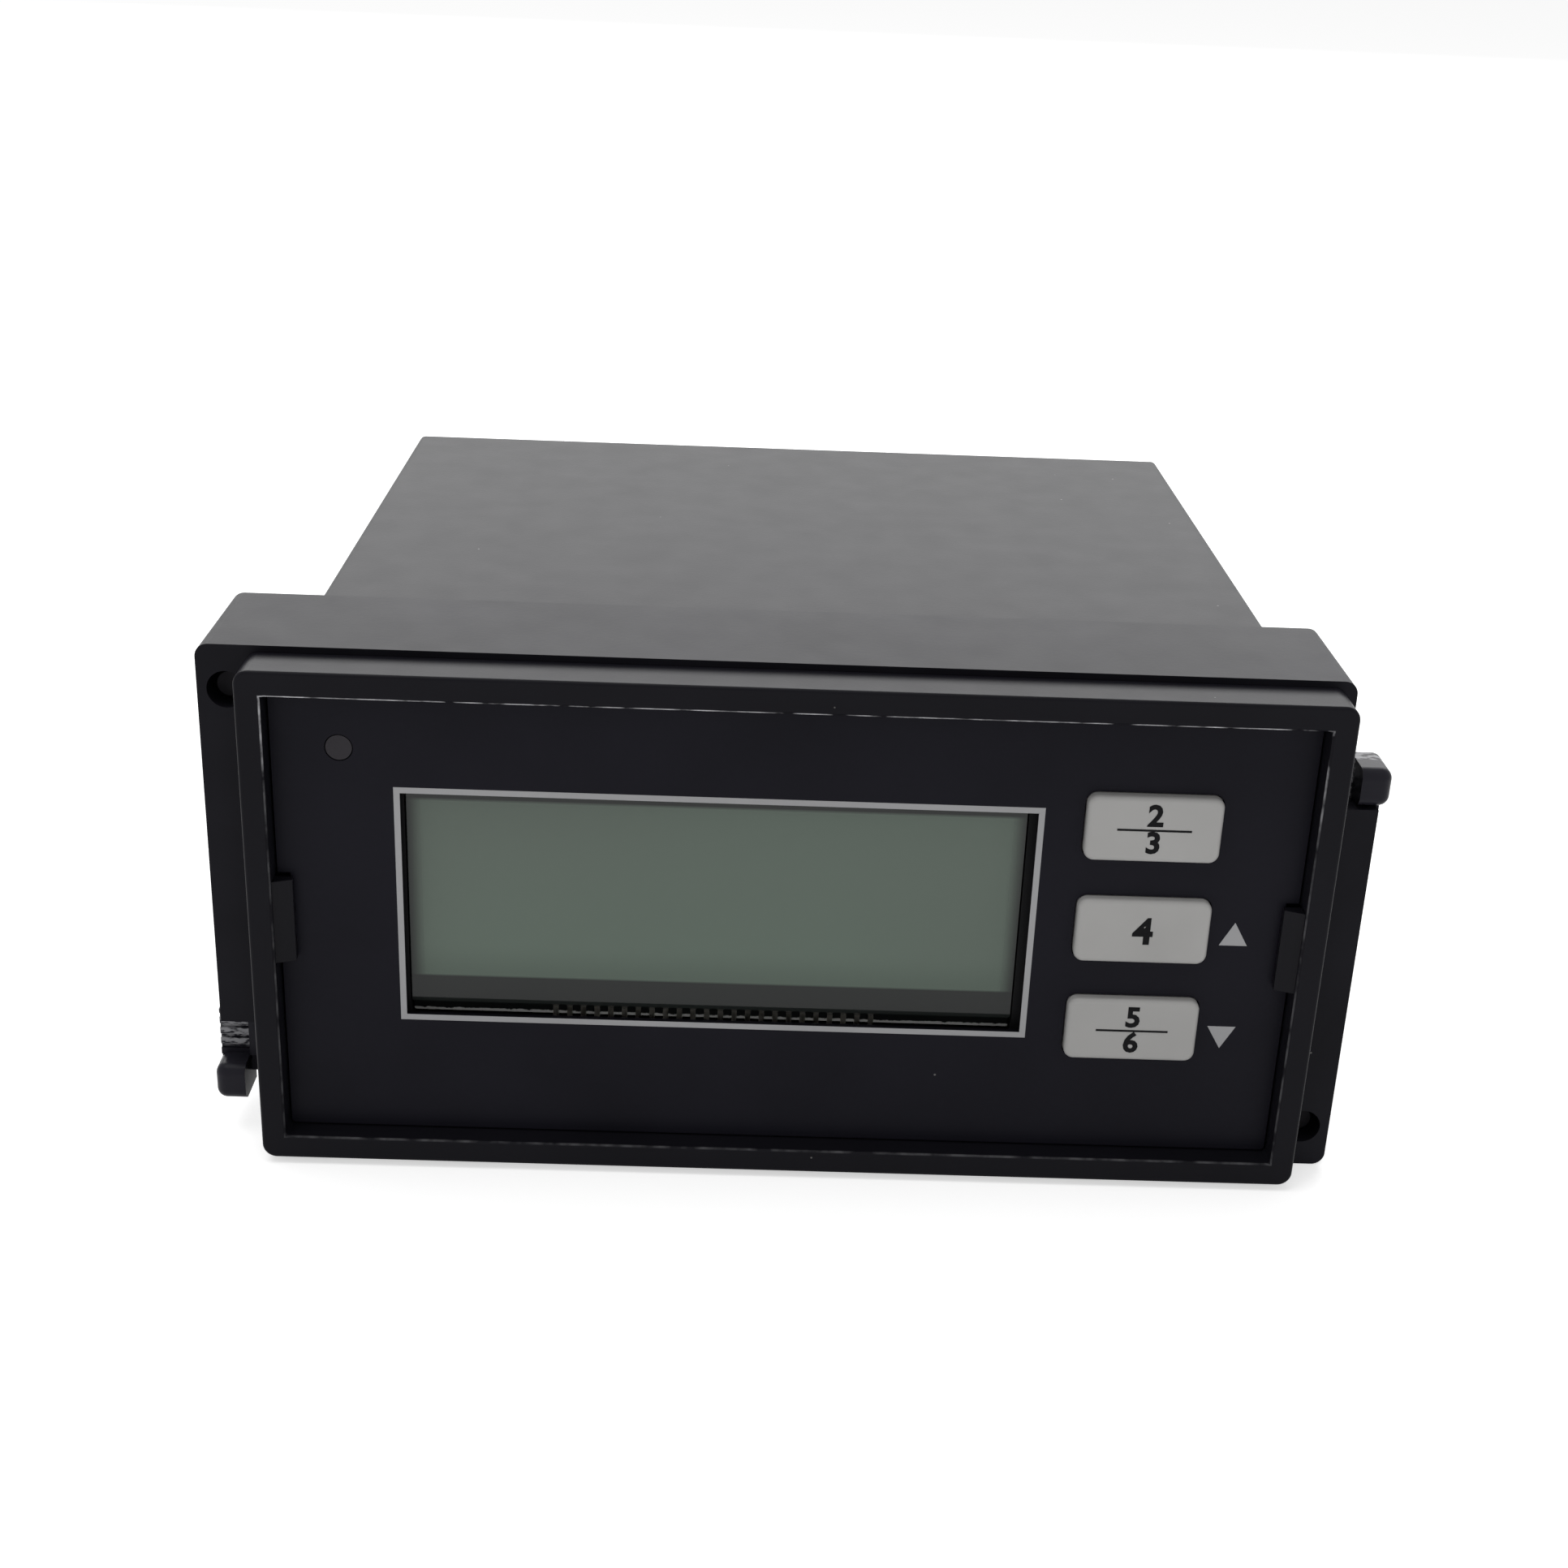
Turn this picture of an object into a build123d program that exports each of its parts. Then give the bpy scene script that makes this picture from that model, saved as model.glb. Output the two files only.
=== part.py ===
from build123d import *
import os

# A conductivity controller for a 92 x 45 mm panel cut-out.
# X runs to the right, Y runs into the panel and Z runs up.
# The origin is the middle of the bezel's rear face, which seats on the panel.
# Lengths are in millimetres.

# Case and bezel
bezel_width = 96.0
bezel_height = 48.0
bezel_depth = 4.8
bezel_corner = 1.3
bezel_edge = 0.3
bezel_side_wall = 2.2
bezel_top_wall = 2.3
recess_corner = 0.4
recess_edge = 0.2
ledge_thickness = 1.1
body_width = 91.5
body_height = 44.0
body_length = 86.2
body_wall = 1.8
body_corner = 0.8
body_inner_corner = 0.4

# Rack of fine teeth on each side of the case, for the slide locks
rack_start = 6.0
rack_end = 80.0
rack_pitch = 2.0
rack_depth = 0.7
rack_low = 2.5
rack_height = 5.5

# Rails for the two long boards and posts for the rear cover
rail_width = 1.2
rail_height = 1.2
rail_gap = 0.3
rail_start = 8.0
post_size = 4.7
post_length = 12.0

# Fascia and printed film
fascia_thickness = 1.2
film_thickness = 0.25
fascia_gap = 0.2
film_window_low = -9.65
film_window_high = 12.3
film_window_left = -34.55
film_window_right = 21.55
window_margin = 0.5
boss_radius = 2.2

# Catches that hold the fascia
catch_height = 8.0
catch_reach = 1.65
catch_plate = 0.55
catch_front_gap = 0.15
catch_lip = 0.5
catch_tip = 0.7
catch_lift = 0.2
catch_pivot_y = -1.5
catch_barrel = 0.45
catch_pin = 0.3
catch_pin_length = 0.9
catch_pocket_width = 1.6
catch_gap = 0.15
catch_fit = 0.06
catch_notch = 1.15

# Display
glass_left = -34.3
glass_right = 20.8
glass_top = 12.2
front_glass_low = -9.1
rear_glass_low = -10.6
glass_thickness = 1.1
display_gap = 0.2
backlight_thickness = 3.0
holder_wall = 1.5
holder_gap = 0.15
pin_gap = 0.75
display_pin_count = 24
display_pin_pitch = 1.27
display_pin_middle = -6.6
display_pin_width = 0.5
display_pin_thickness = 0.2
display_pin_reach = 0.8
display_pin_tail = 1.1
pin_strip_edge = 0.1

# Display board
board_thickness = 1.6
display_board_side_gap = 0.65
display_board_top_gap = 0.6
display_board_corner = 1.0
board_screw_radius = 1.0
board_screw_head = 1.9
board_screw_head_height = 1.4
board_screw_length = 6.5
board_screw_slot = 0.5
board_screw_right_inset = 2.1
board_screw_left_inset = 2.3
board_screw_low_inset = 3.1
board_screw_high_inset = 2.8
lamp_side_screw_x = -30.0
lamp_side_screw_inset = 2.2
screw_fit = 0.05

# Keys and their switches
key_x = 31.7
key_middle_z = 1.35
key_pitch = 10.04
key_width = 12.05
key_height = 6.25
key_corner = 0.95
key_edge = 0.45
key_rise = 0.9
key_gap = 0.2
key_flange_margin = 0.75
key_flange_thickness = 0.8
key_flange_gap = 0.3
key_boss_radius = 1.5
switch_size = 6.0
switch_height = 3.5
switch_corner = 0.5
plunger_radius = 1.7
plunger_rise = 0.5
plunger_depth = 1.2
plunger_fit = 0.1
switch_bore_depth = 2.4

# Alarm lamp
lamp_side_inset = 5.9
lamp_top_inset = 5.1
lamp_radius = 1.15
lamp_fit = 0.1
lamp_setback = 0.05
pipe_flange = 0.75
pipe_flange_thickness = 0.6
lamp_width = 3.2
lamp_height = 2.8
lamp_depth = 1.1
lamp_gap = 0.3
lamp_edge = 0.2

# Mounting ring
ring_side_wall = 6.2
ring_top_wall = 2.25
ring_depth = 14.4
ring_corner = 1.2
ring_inner_corner = 0.7
ring_clearance = 0.35
ring_rest_gap = 0.1
notch_inset = 3.45
notch_end = 12.5
ring_pocket_wall = 1.5
ring_pocket_floor = 9.5
ring_pocket_end = 15.0

# Clamp screws of the ring
clamp_side_inset = 2.55
clamp_end_inset = 4.15
clamp_radius = 1.5
clamp_fit = 0.05
tip_bore_radius = 1.7
tip_bore_depth = 5.0
clamp_tip_setback = 1.5
clamp_length = 12.0
clamp_head_radius = 2.6
clamp_head_height = 2.0
clamp_head_edge = 0.6
clamp_pocket_floor = 8.0
clamp_pocket_gap = 0.45
screw_slot_width = 0.7
screw_slot_depth = 0.9

# Slide locks of the ring
lock_pull = 4.8
lock_gap = 0.2
lock_head_inset = 1.85
lock_head_overhang = 1.0
lock_head_depth = 4.6
lock_head_height = 3.6
lock_head_gap = 0.15
lock_head_setback = 0.05
lock_head_edge = 1.0
lock_head_corner = 1.0
lock_stem_front = 2.9
lock_stem_depth = 4.2
lock_stem_low = 3.4
lock_stem_top = 14.5
lock_flange_side = 0.7
lock_flange_thickness = 1.0
lock_floor = 3.15
lock_grip_low = 8.0
lock_grip_thickness = 0.7
lock_grip_ridges = 5
lock_ridge_pitch = 1.1
lock_ridge_depth = 0.25
lock_ridge_width = 0.45
pawl_height = 4.6
pawl_side = 0.5
pawl_tooth = 0.6
lock_end_gap = 0.4

# Long boards
power_board_lift = 5.1
measuring_board_drop = 6.1
long_board_side_gap = 0.55
long_board_front_gap = 3.1
long_board_rear_gap = 0.6
link_width = 30.5
link_depth = 2.5
link_height = 2.5
link_pin_count = 12
link_pin_pitch = 2.54
link_pin_size = 0.6
link_pin_length = 9.0
link_pin_lift = 0.3

# Parts on the power board
core_x = -24.0
core_y = 52.0
core_width = 30.0
core_room = 1.4
core_yoke = 5.3
core_depth = 14.0
core_leg = 9.6
core_window_width = 5.0
coil_gap = 0.2
coil_overhang = 4.5
relay_x = (8.0, 30.0)
relay_y = 56.0
relay_width = 19.2
relay_depth = 15.4
relay_height = 15.2
relay_edge = 0.8
capacitor_x = -2.0
capacitor_y = 30.0
capacitor_radius = 6.3
capacitor_height = 20.0
capacitor_groove = 0.5
capacitor_groove_level = 2.5
capacitor_edge = 0.5

# Parts under the measuring board
buzzer_x = 28.0
buzzer_y = 27.0
buzzer_radius = 6.0
buzzer_height = 9.5
buzzer_hole = 1.1
buzzer_edge = 0.6
processor_x = -18.0
processor_y = 26.0
processor_size = 12.0
processor_height = 1.6
processor_corner = 1.0

# Terminal headers, plugs and rear cover
way_count = 12
way_pitch = 5.08
header_end_margin = 0.6
header_length = 12.2
header_height = 11.2
header_wall = 0.9
header_floor = 2.0
header_pin_size = 1.0
header_pin_gap = 0.1
header_pin_reach = 7.5
header_tail_gap = 0.8
header_tail_reach = 1.1
plug_gap = 0.2
plug_engagement = 9.2
plug_body_length = 9.6
plug_body_margin = 0.35
wire_entry_width = 3.5
wire_entry_height = 3.8
wire_entry_depth = 7.5
socket_size = 1.5
socket_depth = 8.0
plug_screw_radius = 1.6
plug_screw_fit = 0.1
plug_screw_height = 2.2
plug_screw_sink = 1.0
plug_screw_y = 4.0
cover_thickness = 2.2
cover_gap = 0.2
cover_window_gap = 0.25
vent_count = 4
vent_pitch = 2.6
vent_width = 1.2
vent_height = 14.0
vent_x = 37.4
cover_screw_radius = 1.4
cover_screw_head = 2.4
cover_screw_length = 10.0

# Stations along Y that follow from the sizes above
fascia_rear_y = -ledge_thickness
fascia_front_y = fascia_rear_y - fascia_thickness
film_front_y = fascia_front_y - film_thickness
glass_front_y = fascia_rear_y + display_gap
glass_middle_y = glass_front_y + glass_thickness
glass_rear_y = glass_middle_y + glass_thickness
board_front_y = glass_rear_y + backlight_thickness
board_rear_y = board_front_y + board_thickness
long_board_front_y = board_rear_y + long_board_front_gap
cover_front_y = body_length - cover_thickness
long_board_rear_y = cover_front_y - long_board_rear_gap
switch_front_y = board_front_y - switch_height
plunger_front_y = switch_front_y - plunger_rise
key_flange_front_y = fascia_rear_y + key_flange_gap
key_flange_rear_y = key_flange_front_y + key_flange_thickness
header_front_y = body_length - header_length
plug_front_y = body_length - plug_engagement
plug_rear_y = body_length + plug_body_length

# Widths and heights that follow from the sizes above
recess_width = bezel_width - 2 * bezel_side_wall
recess_height = bezel_height - 2 * bezel_top_wall
inner_width = body_width - 2 * body_wall
inner_height = body_height - 2 * body_wall
fascia_width = recess_width - 2 * fascia_gap
fascia_height = recess_height - 2 * fascia_gap
ring_opening_width = body_width + 2 * ring_clearance
ring_opening_height = body_height + 2 * ring_clearance
ring_width = ring_opening_width + 2 * ring_side_wall
ring_height = ring_opening_height + 2 * ring_top_wall
ring_side = ring_width / 2
notch_x = ring_side - notch_inset
clamp_x = ring_side - clamp_side_inset
clamp_z = ring_height / 2 - clamp_end_inset
lock_head_inner = ring_side - lock_head_inset
lock_head_outer = ring_side + lock_head_overhang
glass_width = glass_right - glass_left
glass_middle_x = (glass_right + glass_left) / 2
key_levels = (key_middle_z + key_pitch, key_middle_z, key_middle_z - key_pitch)
lamp_x = -fascia_width / 2 + lamp_side_inset
lamp_z = fascia_height / 2 - lamp_top_inset
display_board_width = inner_width - 2 * display_board_side_gap
display_board_height = inner_height - 2 * display_board_top_gap
board_screw_right = display_board_width / 2 - board_screw_right_inset
board_screw_left = -display_board_width / 2 + board_screw_left_inset
board_screw_high = display_board_height / 2 - board_screw_high_inset
board_screw_low = -display_board_height / 2 + board_screw_low_inset
board_screw_spots = (
    (lamp_side_screw_x, display_board_height / 2 - lamp_side_screw_inset),
    (board_screw_right, board_screw_high),
    (board_screw_left, board_screw_low),
    (board_screw_right, board_screw_low),
)
long_board_width = inner_width - 2 * long_board_side_gap
power_board_low = -inner_height / 2 + power_board_lift
power_board_top = power_board_low + board_thickness
measuring_board_top = inner_height / 2 - measuring_board_drop
measuring_board_low = measuring_board_top - board_thickness
core_height = measuring_board_low - power_board_top - core_room
core_window_height = core_height - 2 * core_yoke
way_span = (way_count - 1) * way_pitch
header_width = way_count * way_pitch + 2 * header_end_margin
ways = [way * way_pitch - way_span / 2 for way in range(way_count)]
post_x = inner_width / 2 - post_size / 2
post_z = inner_height / 2 - post_size / 2
post_spots = [(x, z) for x in (-post_x, post_x) for z in (-post_z, post_z)]


def across(y):
    """Plane across the case at depth y, seen from the front."""
    return Plane(origin=(0, y, 0), x_dir=(1, 0, 0), z_dir=(0, -1, 0))


def block(x_range, y_range, z_range, mode=Mode.ADD):
    """Block between two limits along each axis."""
    middle = [sum(limits) / 2 for limits in (x_range, y_range, z_range)]
    sizes = [abs(limits[1] - limits[0]) for limits in (x_range, y_range, z_range)]
    with Locations(tuple(middle)):
        Box(*sizes, mode=mode)


def rod(x, z, radius, y_range, mode=Mode.ADD):
    """Round rod along Y."""
    with Locations((x, sum(y_range) / 2, z)):
        Cylinder(radius, abs(y_range[1] - y_range[0]), rotation=(90, 0, 0), mode=mode)


def sided(turn, low, high):
    """Limits for the right side, or for the left side where turn is -1."""
    return (turn * low, turn * high)


def save(piece, name):
    """Label a finished piece and write it."""
    piece.part.label = name
    export_step(piece.part, "parts/" + name + ".step")


os.makedirs("parts", exist_ok=True)


# The case is one moulding: the bezel in front, and a tube with square edges behind the panel.
catch_pivot_x = recess_width / 2 + catch_gap + catch_barrel
catch_front_y = -bezel_depth + catch_lip + catch_front_gap
rail_levels = (
    (power_board_low - rail_gap - rail_height, power_board_low - rail_gap),
    (power_board_top + rail_gap, power_board_top + rail_gap + rail_height),
    (measuring_board_low - rail_gap - rail_height, measuring_board_low - rail_gap),
    (measuring_board_top + rail_gap, measuring_board_top + rail_gap + rail_height),
)


def rack_profile(side):
    """Saw teeth along one side of the case, as a closed outline."""
    surface = side * body_width / 2
    root = surface - side * rack_depth
    outside = surface + side * rack_depth
    rows = int((rack_end - rack_start) / rack_pitch)
    teeth = []
    for row in range(rows):
        start = rack_start + row * rack_pitch
        teeth.append((surface, start))
        teeth.append((root, start + rack_pitch / 2))
        teeth.append((surface, start + rack_pitch / 2))
    last = rack_start + rows * rack_pitch
    return teeth + [(surface, last), (outside, last), (outside, rack_start)]


with BuildPart() as case:
    with BuildSketch(across(0)):
        RectangleRounded(bezel_width, bezel_height, bezel_corner)
    extrude(amount=bezel_depth)
    fillet(case.faces().sort_by(Axis.Y)[0].edges(), bezel_edge)
    with BuildSketch(across(0)):
        RectangleRounded(body_width, body_height, body_corner)
    extrude(amount=-body_length)
    with BuildSketch(across(-bezel_depth)):
        RectangleRounded(recess_width, recess_height, recess_corner)
    extrude(amount=-(bezel_depth - ledge_thickness), mode=Mode.SUBTRACT)
    mouth = case.faces().sort_by(Axis.Y)[0].inner_wires()[0].edges()
    chamfer(mouth, recess_edge)
    with BuildSketch(across(-ledge_thickness)):
        RectangleRounded(inner_width, inner_height, body_inner_corner)
    extrude(amount=-(ledge_thickness + body_length), mode=Mode.SUBTRACT)
    # Racks: upper half of the right side, lower half of the left side.
    with BuildSketch(Plane.XY.offset(rack_low)):
        with BuildLine():
            Polyline(*rack_profile(1), close=True)
        make_face()
    extrude(amount=rack_height, mode=Mode.SUBTRACT)
    with BuildSketch(Plane.XY.offset(-rack_low - rack_height)):
        with BuildLine():
            Polyline(*rack_profile(-1), close=True)
        make_face()
    extrude(amount=rack_height, mode=Mode.SUBTRACT)
    # Rails that guide the long boards, and posts that take the rear screws.
    for turn in (1, -1):
        rail_x = sided(turn, inner_width / 2 - rail_width, inner_width / 2 + body_wall / 2)
        for level in rail_levels:
            block(rail_x, (rail_start, cover_front_y), level)
    for x, z in post_spots:
        reach_x = (x - post_size / 2, x + post_size / 2)
        reach_z = (z - post_size / 2, z + post_size / 2)
        block(reach_x, (cover_front_y - post_length, cover_front_y), reach_z)
        post_y = (cover_front_y - post_length, cover_front_y)
        rod(x, z, cover_screw_radius + screw_fit, post_y, Mode.SUBTRACT)
    # Pockets in the bezel's side walls, with pivot holes for the catches.
    for turn in (1, -1):
        pocket_x = sided(turn, recess_width / 2 - recess_edge, recess_width / 2 + catch_pocket_width)
        pocket_y = (-bezel_depth + catch_lip, catch_pivot_y + catch_barrel + catch_front_gap / 2)
        pocket_half = catch_height / 2 + catch_gap
        block(pocket_x, pocket_y, (-pocket_half, pocket_half), Mode.SUBTRACT)
        with Locations((turn * catch_pivot_x, catch_pivot_y, 0)):
            hole_length = catch_height + 2 * (catch_pin_length + catch_gap)
            Cylinder(catch_pin + catch_fit, hole_length, mode=Mode.SUBTRACT)
save(case, "case")


# The fascia lies on the ledge behind the recess, with the printed film on its face.
def cut_face_openings(y_range, margin):
    """Openings for the display, the keys, the lamp and the catches."""
    window_x = (film_window_left - margin, film_window_right + margin)
    block(window_x, y_range, (film_window_low - margin, film_window_high + margin), Mode.SUBTRACT)
    half_width = key_width / 2 + key_gap
    half_height = key_height / 2 + key_gap
    key_x_range = (key_x - half_width, key_x + half_width)
    for level in key_levels:
        block(key_x_range, y_range, (level - half_height, level + half_height), Mode.SUBTRACT)
    rod(lamp_x, lamp_z, lamp_radius + lamp_fit, y_range, Mode.SUBTRACT)
    for turn in (1, -1):
        notch_x_range = sided(turn, fascia_width / 2 - catch_notch, fascia_width / 2 + catch_gap)
        notch_half = catch_height / 2 + 2 * catch_gap
        block(notch_x_range, y_range, (-notch_half, notch_half), Mode.SUBTRACT)


with BuildPart() as fascia:
    with BuildSketch(across(fascia_rear_y)):
        RectangleRounded(fascia_width, fascia_height, recess_corner)
    extrude(amount=fascia_thickness)
    cut_face_openings((fascia_front_y, fascia_rear_y), window_margin)
    with BuildSketch(across(fascia_rear_y)):
        with Locations(*board_screw_spots):
            Circle(boss_radius)
    extrude(amount=-(board_front_y - fascia_rear_y))
    with BuildSketch(across(board_front_y)):
        with Locations(*board_screw_spots):
            Circle(board_screw_radius + screw_fit)
    extrude(amount=board_screw_length - board_thickness + screw_fit, mode=Mode.SUBTRACT)
save(fascia, "fascia")

with BuildPart() as film:
    with BuildSketch(across(fascia_front_y)):
        RectangleRounded(fascia_width, fascia_height, recess_corner)
    extrude(amount=film_thickness)
    cut_face_openings((film_front_y, fascia_front_y), 0)
save(film, "film")


# Each catch turns on two pins in its pocket, and its sloped head reaches over the fascia's edge.
def make_catch(turn):
    """Catch of the right side, or of the left side where turn is -1."""
    back = recess_width / 2 + catch_gap
    tip = recess_width / 2 - catch_reach
    low = film_front_y - catch_lift
    outline = [
        (back, catch_front_y),
        (tip, low - catch_tip),
        (tip, low),
        (back, low),
        (back, catch_pivot_y),
        (back + catch_plate, catch_pivot_y),
        (back + catch_plate, catch_front_y),
    ]
    with BuildPart() as catch:
        with BuildSketch(Plane.XY.offset(-catch_height / 2)) as profile:
            with BuildLine() as line:
                Polyline(*[(turn * x, y) for x, y in outline], close=True)
            make_face(line.edges())
        extrude(profile.sketch, amount=catch_height)
        with Locations((turn * catch_pivot_x, catch_pivot_y, 0)):
            Cylinder(catch_barrel, catch_height)
            Cylinder(catch_pin, catch_height + 2 * catch_pin_length)
    return catch


save(make_catch(1), "catch_right")
save(make_catch(-1), "catch_left")


# Display: two glass plates on a backlight, in a frame that stands on the display board.
def make_plate(low_z, y_range, corner):
    """Plate of the display's width, from low_z up to the top of the glass."""
    with BuildPart() as plate:
        with BuildSketch(across(y_range[1])) as outline:
            with Locations((glass_middle_x, (glass_top + low_z) / 2)):
                RectangleRounded(glass_width, glass_top - low_z, corner)
        extrude(outline.sketch, amount=y_range[1] - y_range[0])
    return plate


front_glass_y = (glass_front_y, glass_middle_y)
rear_glass_y = (glass_middle_y, glass_rear_y)
save(make_plate(front_glass_low, front_glass_y, display_gap), "display_glass_front")
save(make_plate(rear_glass_low, rear_glass_y, display_gap), "display_glass_rear")
save(make_plate(rear_glass_low, (glass_rear_y, board_front_y), display_gap), "display_backlight")

holder_left = glass_left - holder_gap
holder_right = glass_right + holder_gap
holder_top = glass_top + holder_gap
holder_low = rear_glass_low - pin_gap
holder_width = holder_right - holder_left
holder_height = holder_top - holder_low
with BuildPart() as display_holder:
    with BuildSketch(across(board_front_y)):
        with Locations(((holder_left + holder_right) / 2, (holder_top + holder_low) / 2)):
            Rectangle(holder_width + 2 * holder_wall, holder_height + 2 * holder_wall)
            Rectangle(holder_width, holder_height, mode=Mode.SUBTRACT)
    extrude(amount=board_front_y - glass_front_y)
    fillet(display_holder.edges().filter_by(Axis.Y).group_by(SortBy.DISTANCE)[-1], holder_wall / 2)
save(display_holder, "display_holder")

display_pin_span = (display_pin_count - 1) * display_pin_pitch
display_pin_spots = [
    display_pin_middle - display_pin_span / 2 + pin * display_pin_pitch for pin in range(display_pin_count)
]
pin_bar_low = rear_glass_low - 2 * display_pin_thickness
with BuildPart() as display_pins:
    for x in display_pin_spots:
        pin_x = (x - display_pin_width / 2, x + display_pin_width / 2)
        finger_y = (glass_middle_y - display_pin_thickness, glass_middle_y)
        block(pin_x, finger_y, (pin_bar_low, rear_glass_low + display_pin_reach))
        tail_y = (glass_middle_y - display_pin_thickness, board_rear_y + display_pin_tail)
        block(pin_x, tail_y, (pin_bar_low, pin_bar_low + display_pin_thickness))
    # A moulded strip holds the pins at one pitch.
    strip_x = (display_pin_spots[0] - display_pin_width, display_pin_spots[-1] + display_pin_width)
    strip_y = (board_front_y - display_pin_width, board_front_y)
    strip_z = (pin_bar_low - pin_strip_edge, pin_bar_low + display_pin_thickness + pin_strip_edge)
    block(strip_x, strip_y, strip_z)
save(display_pins, "display_pins")


# Display board, with a slot for the display's pins, and its four screws.
with BuildPart() as display_board:
    with BuildSketch(across(board_rear_y)):
        RectangleRounded(display_board_width, display_board_height, display_board_corner)
        with Locations(*board_screw_spots):
            Circle(board_screw_radius + 2 * screw_fit, mode=Mode.SUBTRACT)
        with Locations((display_pin_middle, pin_bar_low + display_pin_thickness / 2)):
            slot_width = display_pin_span + 2 * display_pin_width
            Rectangle(slot_width, 4 * display_pin_thickness, mode=Mode.SUBTRACT)
    extrude(amount=board_thickness)
save(display_board, "display_board")

with BuildPart() as display_screws:
    for x, z in board_screw_spots:
        rod(x, z, board_screw_radius, (board_rear_y - board_screw_length, board_rear_y))
        rod(x, z, board_screw_head, (board_rear_y, board_rear_y + board_screw_head_height))
        slot_y = (board_rear_y + board_screw_head_height / 2, board_rear_y + board_screw_head_height)
        arm = board_screw_radius
        half_slot = board_screw_slot / 2
        block((x - arm, x + arm), slot_y, (z - half_slot, z + half_slot), Mode.SUBTRACT)
        block((x - half_slot, x + half_slot), slot_y, (z - arm, z + arm), Mode.SUBTRACT)
save(display_screws, "display_screws")


# Keys: pillow-edged caps that stand proud of the film, each on the plunger of a switch.
def make_key(level):
    """Key cap with the flange that keeps it behind the fascia."""
    with BuildPart() as key:
        with BuildSketch(across(key_flange_front_y)) as cap:
            with Locations((key_x, level)):
                RectangleRounded(key_width, key_height, key_corner)
        extrude(cap.sketch, amount=key_flange_front_y - film_front_y + key_rise)
        fillet(key.faces().sort_by(Axis.Y)[0].edges(), key_edge)
        with BuildSketch(across(key_flange_rear_y)) as flange:
            with Locations((key_x, level)):
                Rectangle(key_width + 2 * key_flange_margin, key_height + 2 * key_flange_margin)
        extrude(flange.sketch, amount=key_flange_thickness)
        rod(key_x, level, key_boss_radius, (key_flange_rear_y, plunger_front_y))
    return key


def make_switch(level):
    """Switch body with the bore that its plunger moves in."""
    with BuildPart() as switch:
        with BuildSketch(across(board_front_y)) as outline:
            with Locations((key_x, level)):
                RectangleRounded(switch_size, switch_size, switch_corner)
        extrude(outline.sketch, amount=switch_height)
        bore_y = (switch_front_y, switch_front_y + switch_bore_depth)
        rod(key_x, level, plunger_radius + plunger_fit, bore_y, Mode.SUBTRACT)
    return switch


def make_plunger(level):
    """Plunger between a key and its switch."""
    with BuildPart() as plunger:
        rod(key_x, level, plunger_radius, (plunger_front_y, switch_front_y + plunger_depth))
    return plunger


for name, level in zip(("upper", "middle", "lower"), key_levels):
    save(make_key(level), "key_" + name)
    save(make_switch(level), "key_switch_" + name)
    save(make_plunger(level), "key_plunger_" + name)


# Alarm lamp and the light pipe that carries its light to the film.
with BuildPart() as light_pipe:
    rod(lamp_x, lamp_z, lamp_radius, (film_front_y + lamp_setback, board_front_y - lamp_depth - lamp_gap))
    rod(lamp_x, lamp_z, lamp_radius + pipe_flange, (fascia_rear_y, fascia_rear_y + pipe_flange_thickness))
save(light_pipe, "alarm_light_pipe")

with BuildPart() as lamp:
    with BuildSketch(across(board_front_y)):
        with Locations((lamp_x, lamp_z)):
            Rectangle(lamp_width, lamp_height)
    extrude(amount=lamp_depth)
    chamfer(lamp.faces().sort_by(Axis.Y)[0].edges(), lamp_edge)
save(lamp, "alarm_lamp")


# Mounting ring: it slides along the case from behind, and its two ends are alike when turned half round.
ring_front_y = ring_rest_gap
ring_rear_y = ring_front_y + ring_depth
stem_y = (ring_front_y + lock_stem_front, ring_front_y + lock_stem_front + lock_stem_depth)
lock_slot_y = (stem_y[0] - lock_gap, stem_y[1] + lock_gap)
lock_flange_y = (stem_y[0] - lock_flange_side, stem_y[1] + lock_flange_side)
undercut_y = (lock_flange_y[0] - lock_gap, lock_flange_y[1] + lock_gap)
lock_inner = ring_side - lock_floor + lock_gap
lock_bottom = lock_stem_low - lock_end_gap
pawl_top = lock_stem_low + pawl_height
pawl_y = (stem_y[0] + pawl_side, stem_y[1] - pawl_side)
ring_outline = [
    (ring_side, -ring_height / 2),
    (ring_side, notch_end),
    (notch_x, notch_end),
    (notch_x, ring_height / 2),
    (-ring_side, ring_height / 2),
    (-ring_side, -notch_end),
    (-notch_x, -notch_end),
    (-notch_x, -ring_height / 2),
]
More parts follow.
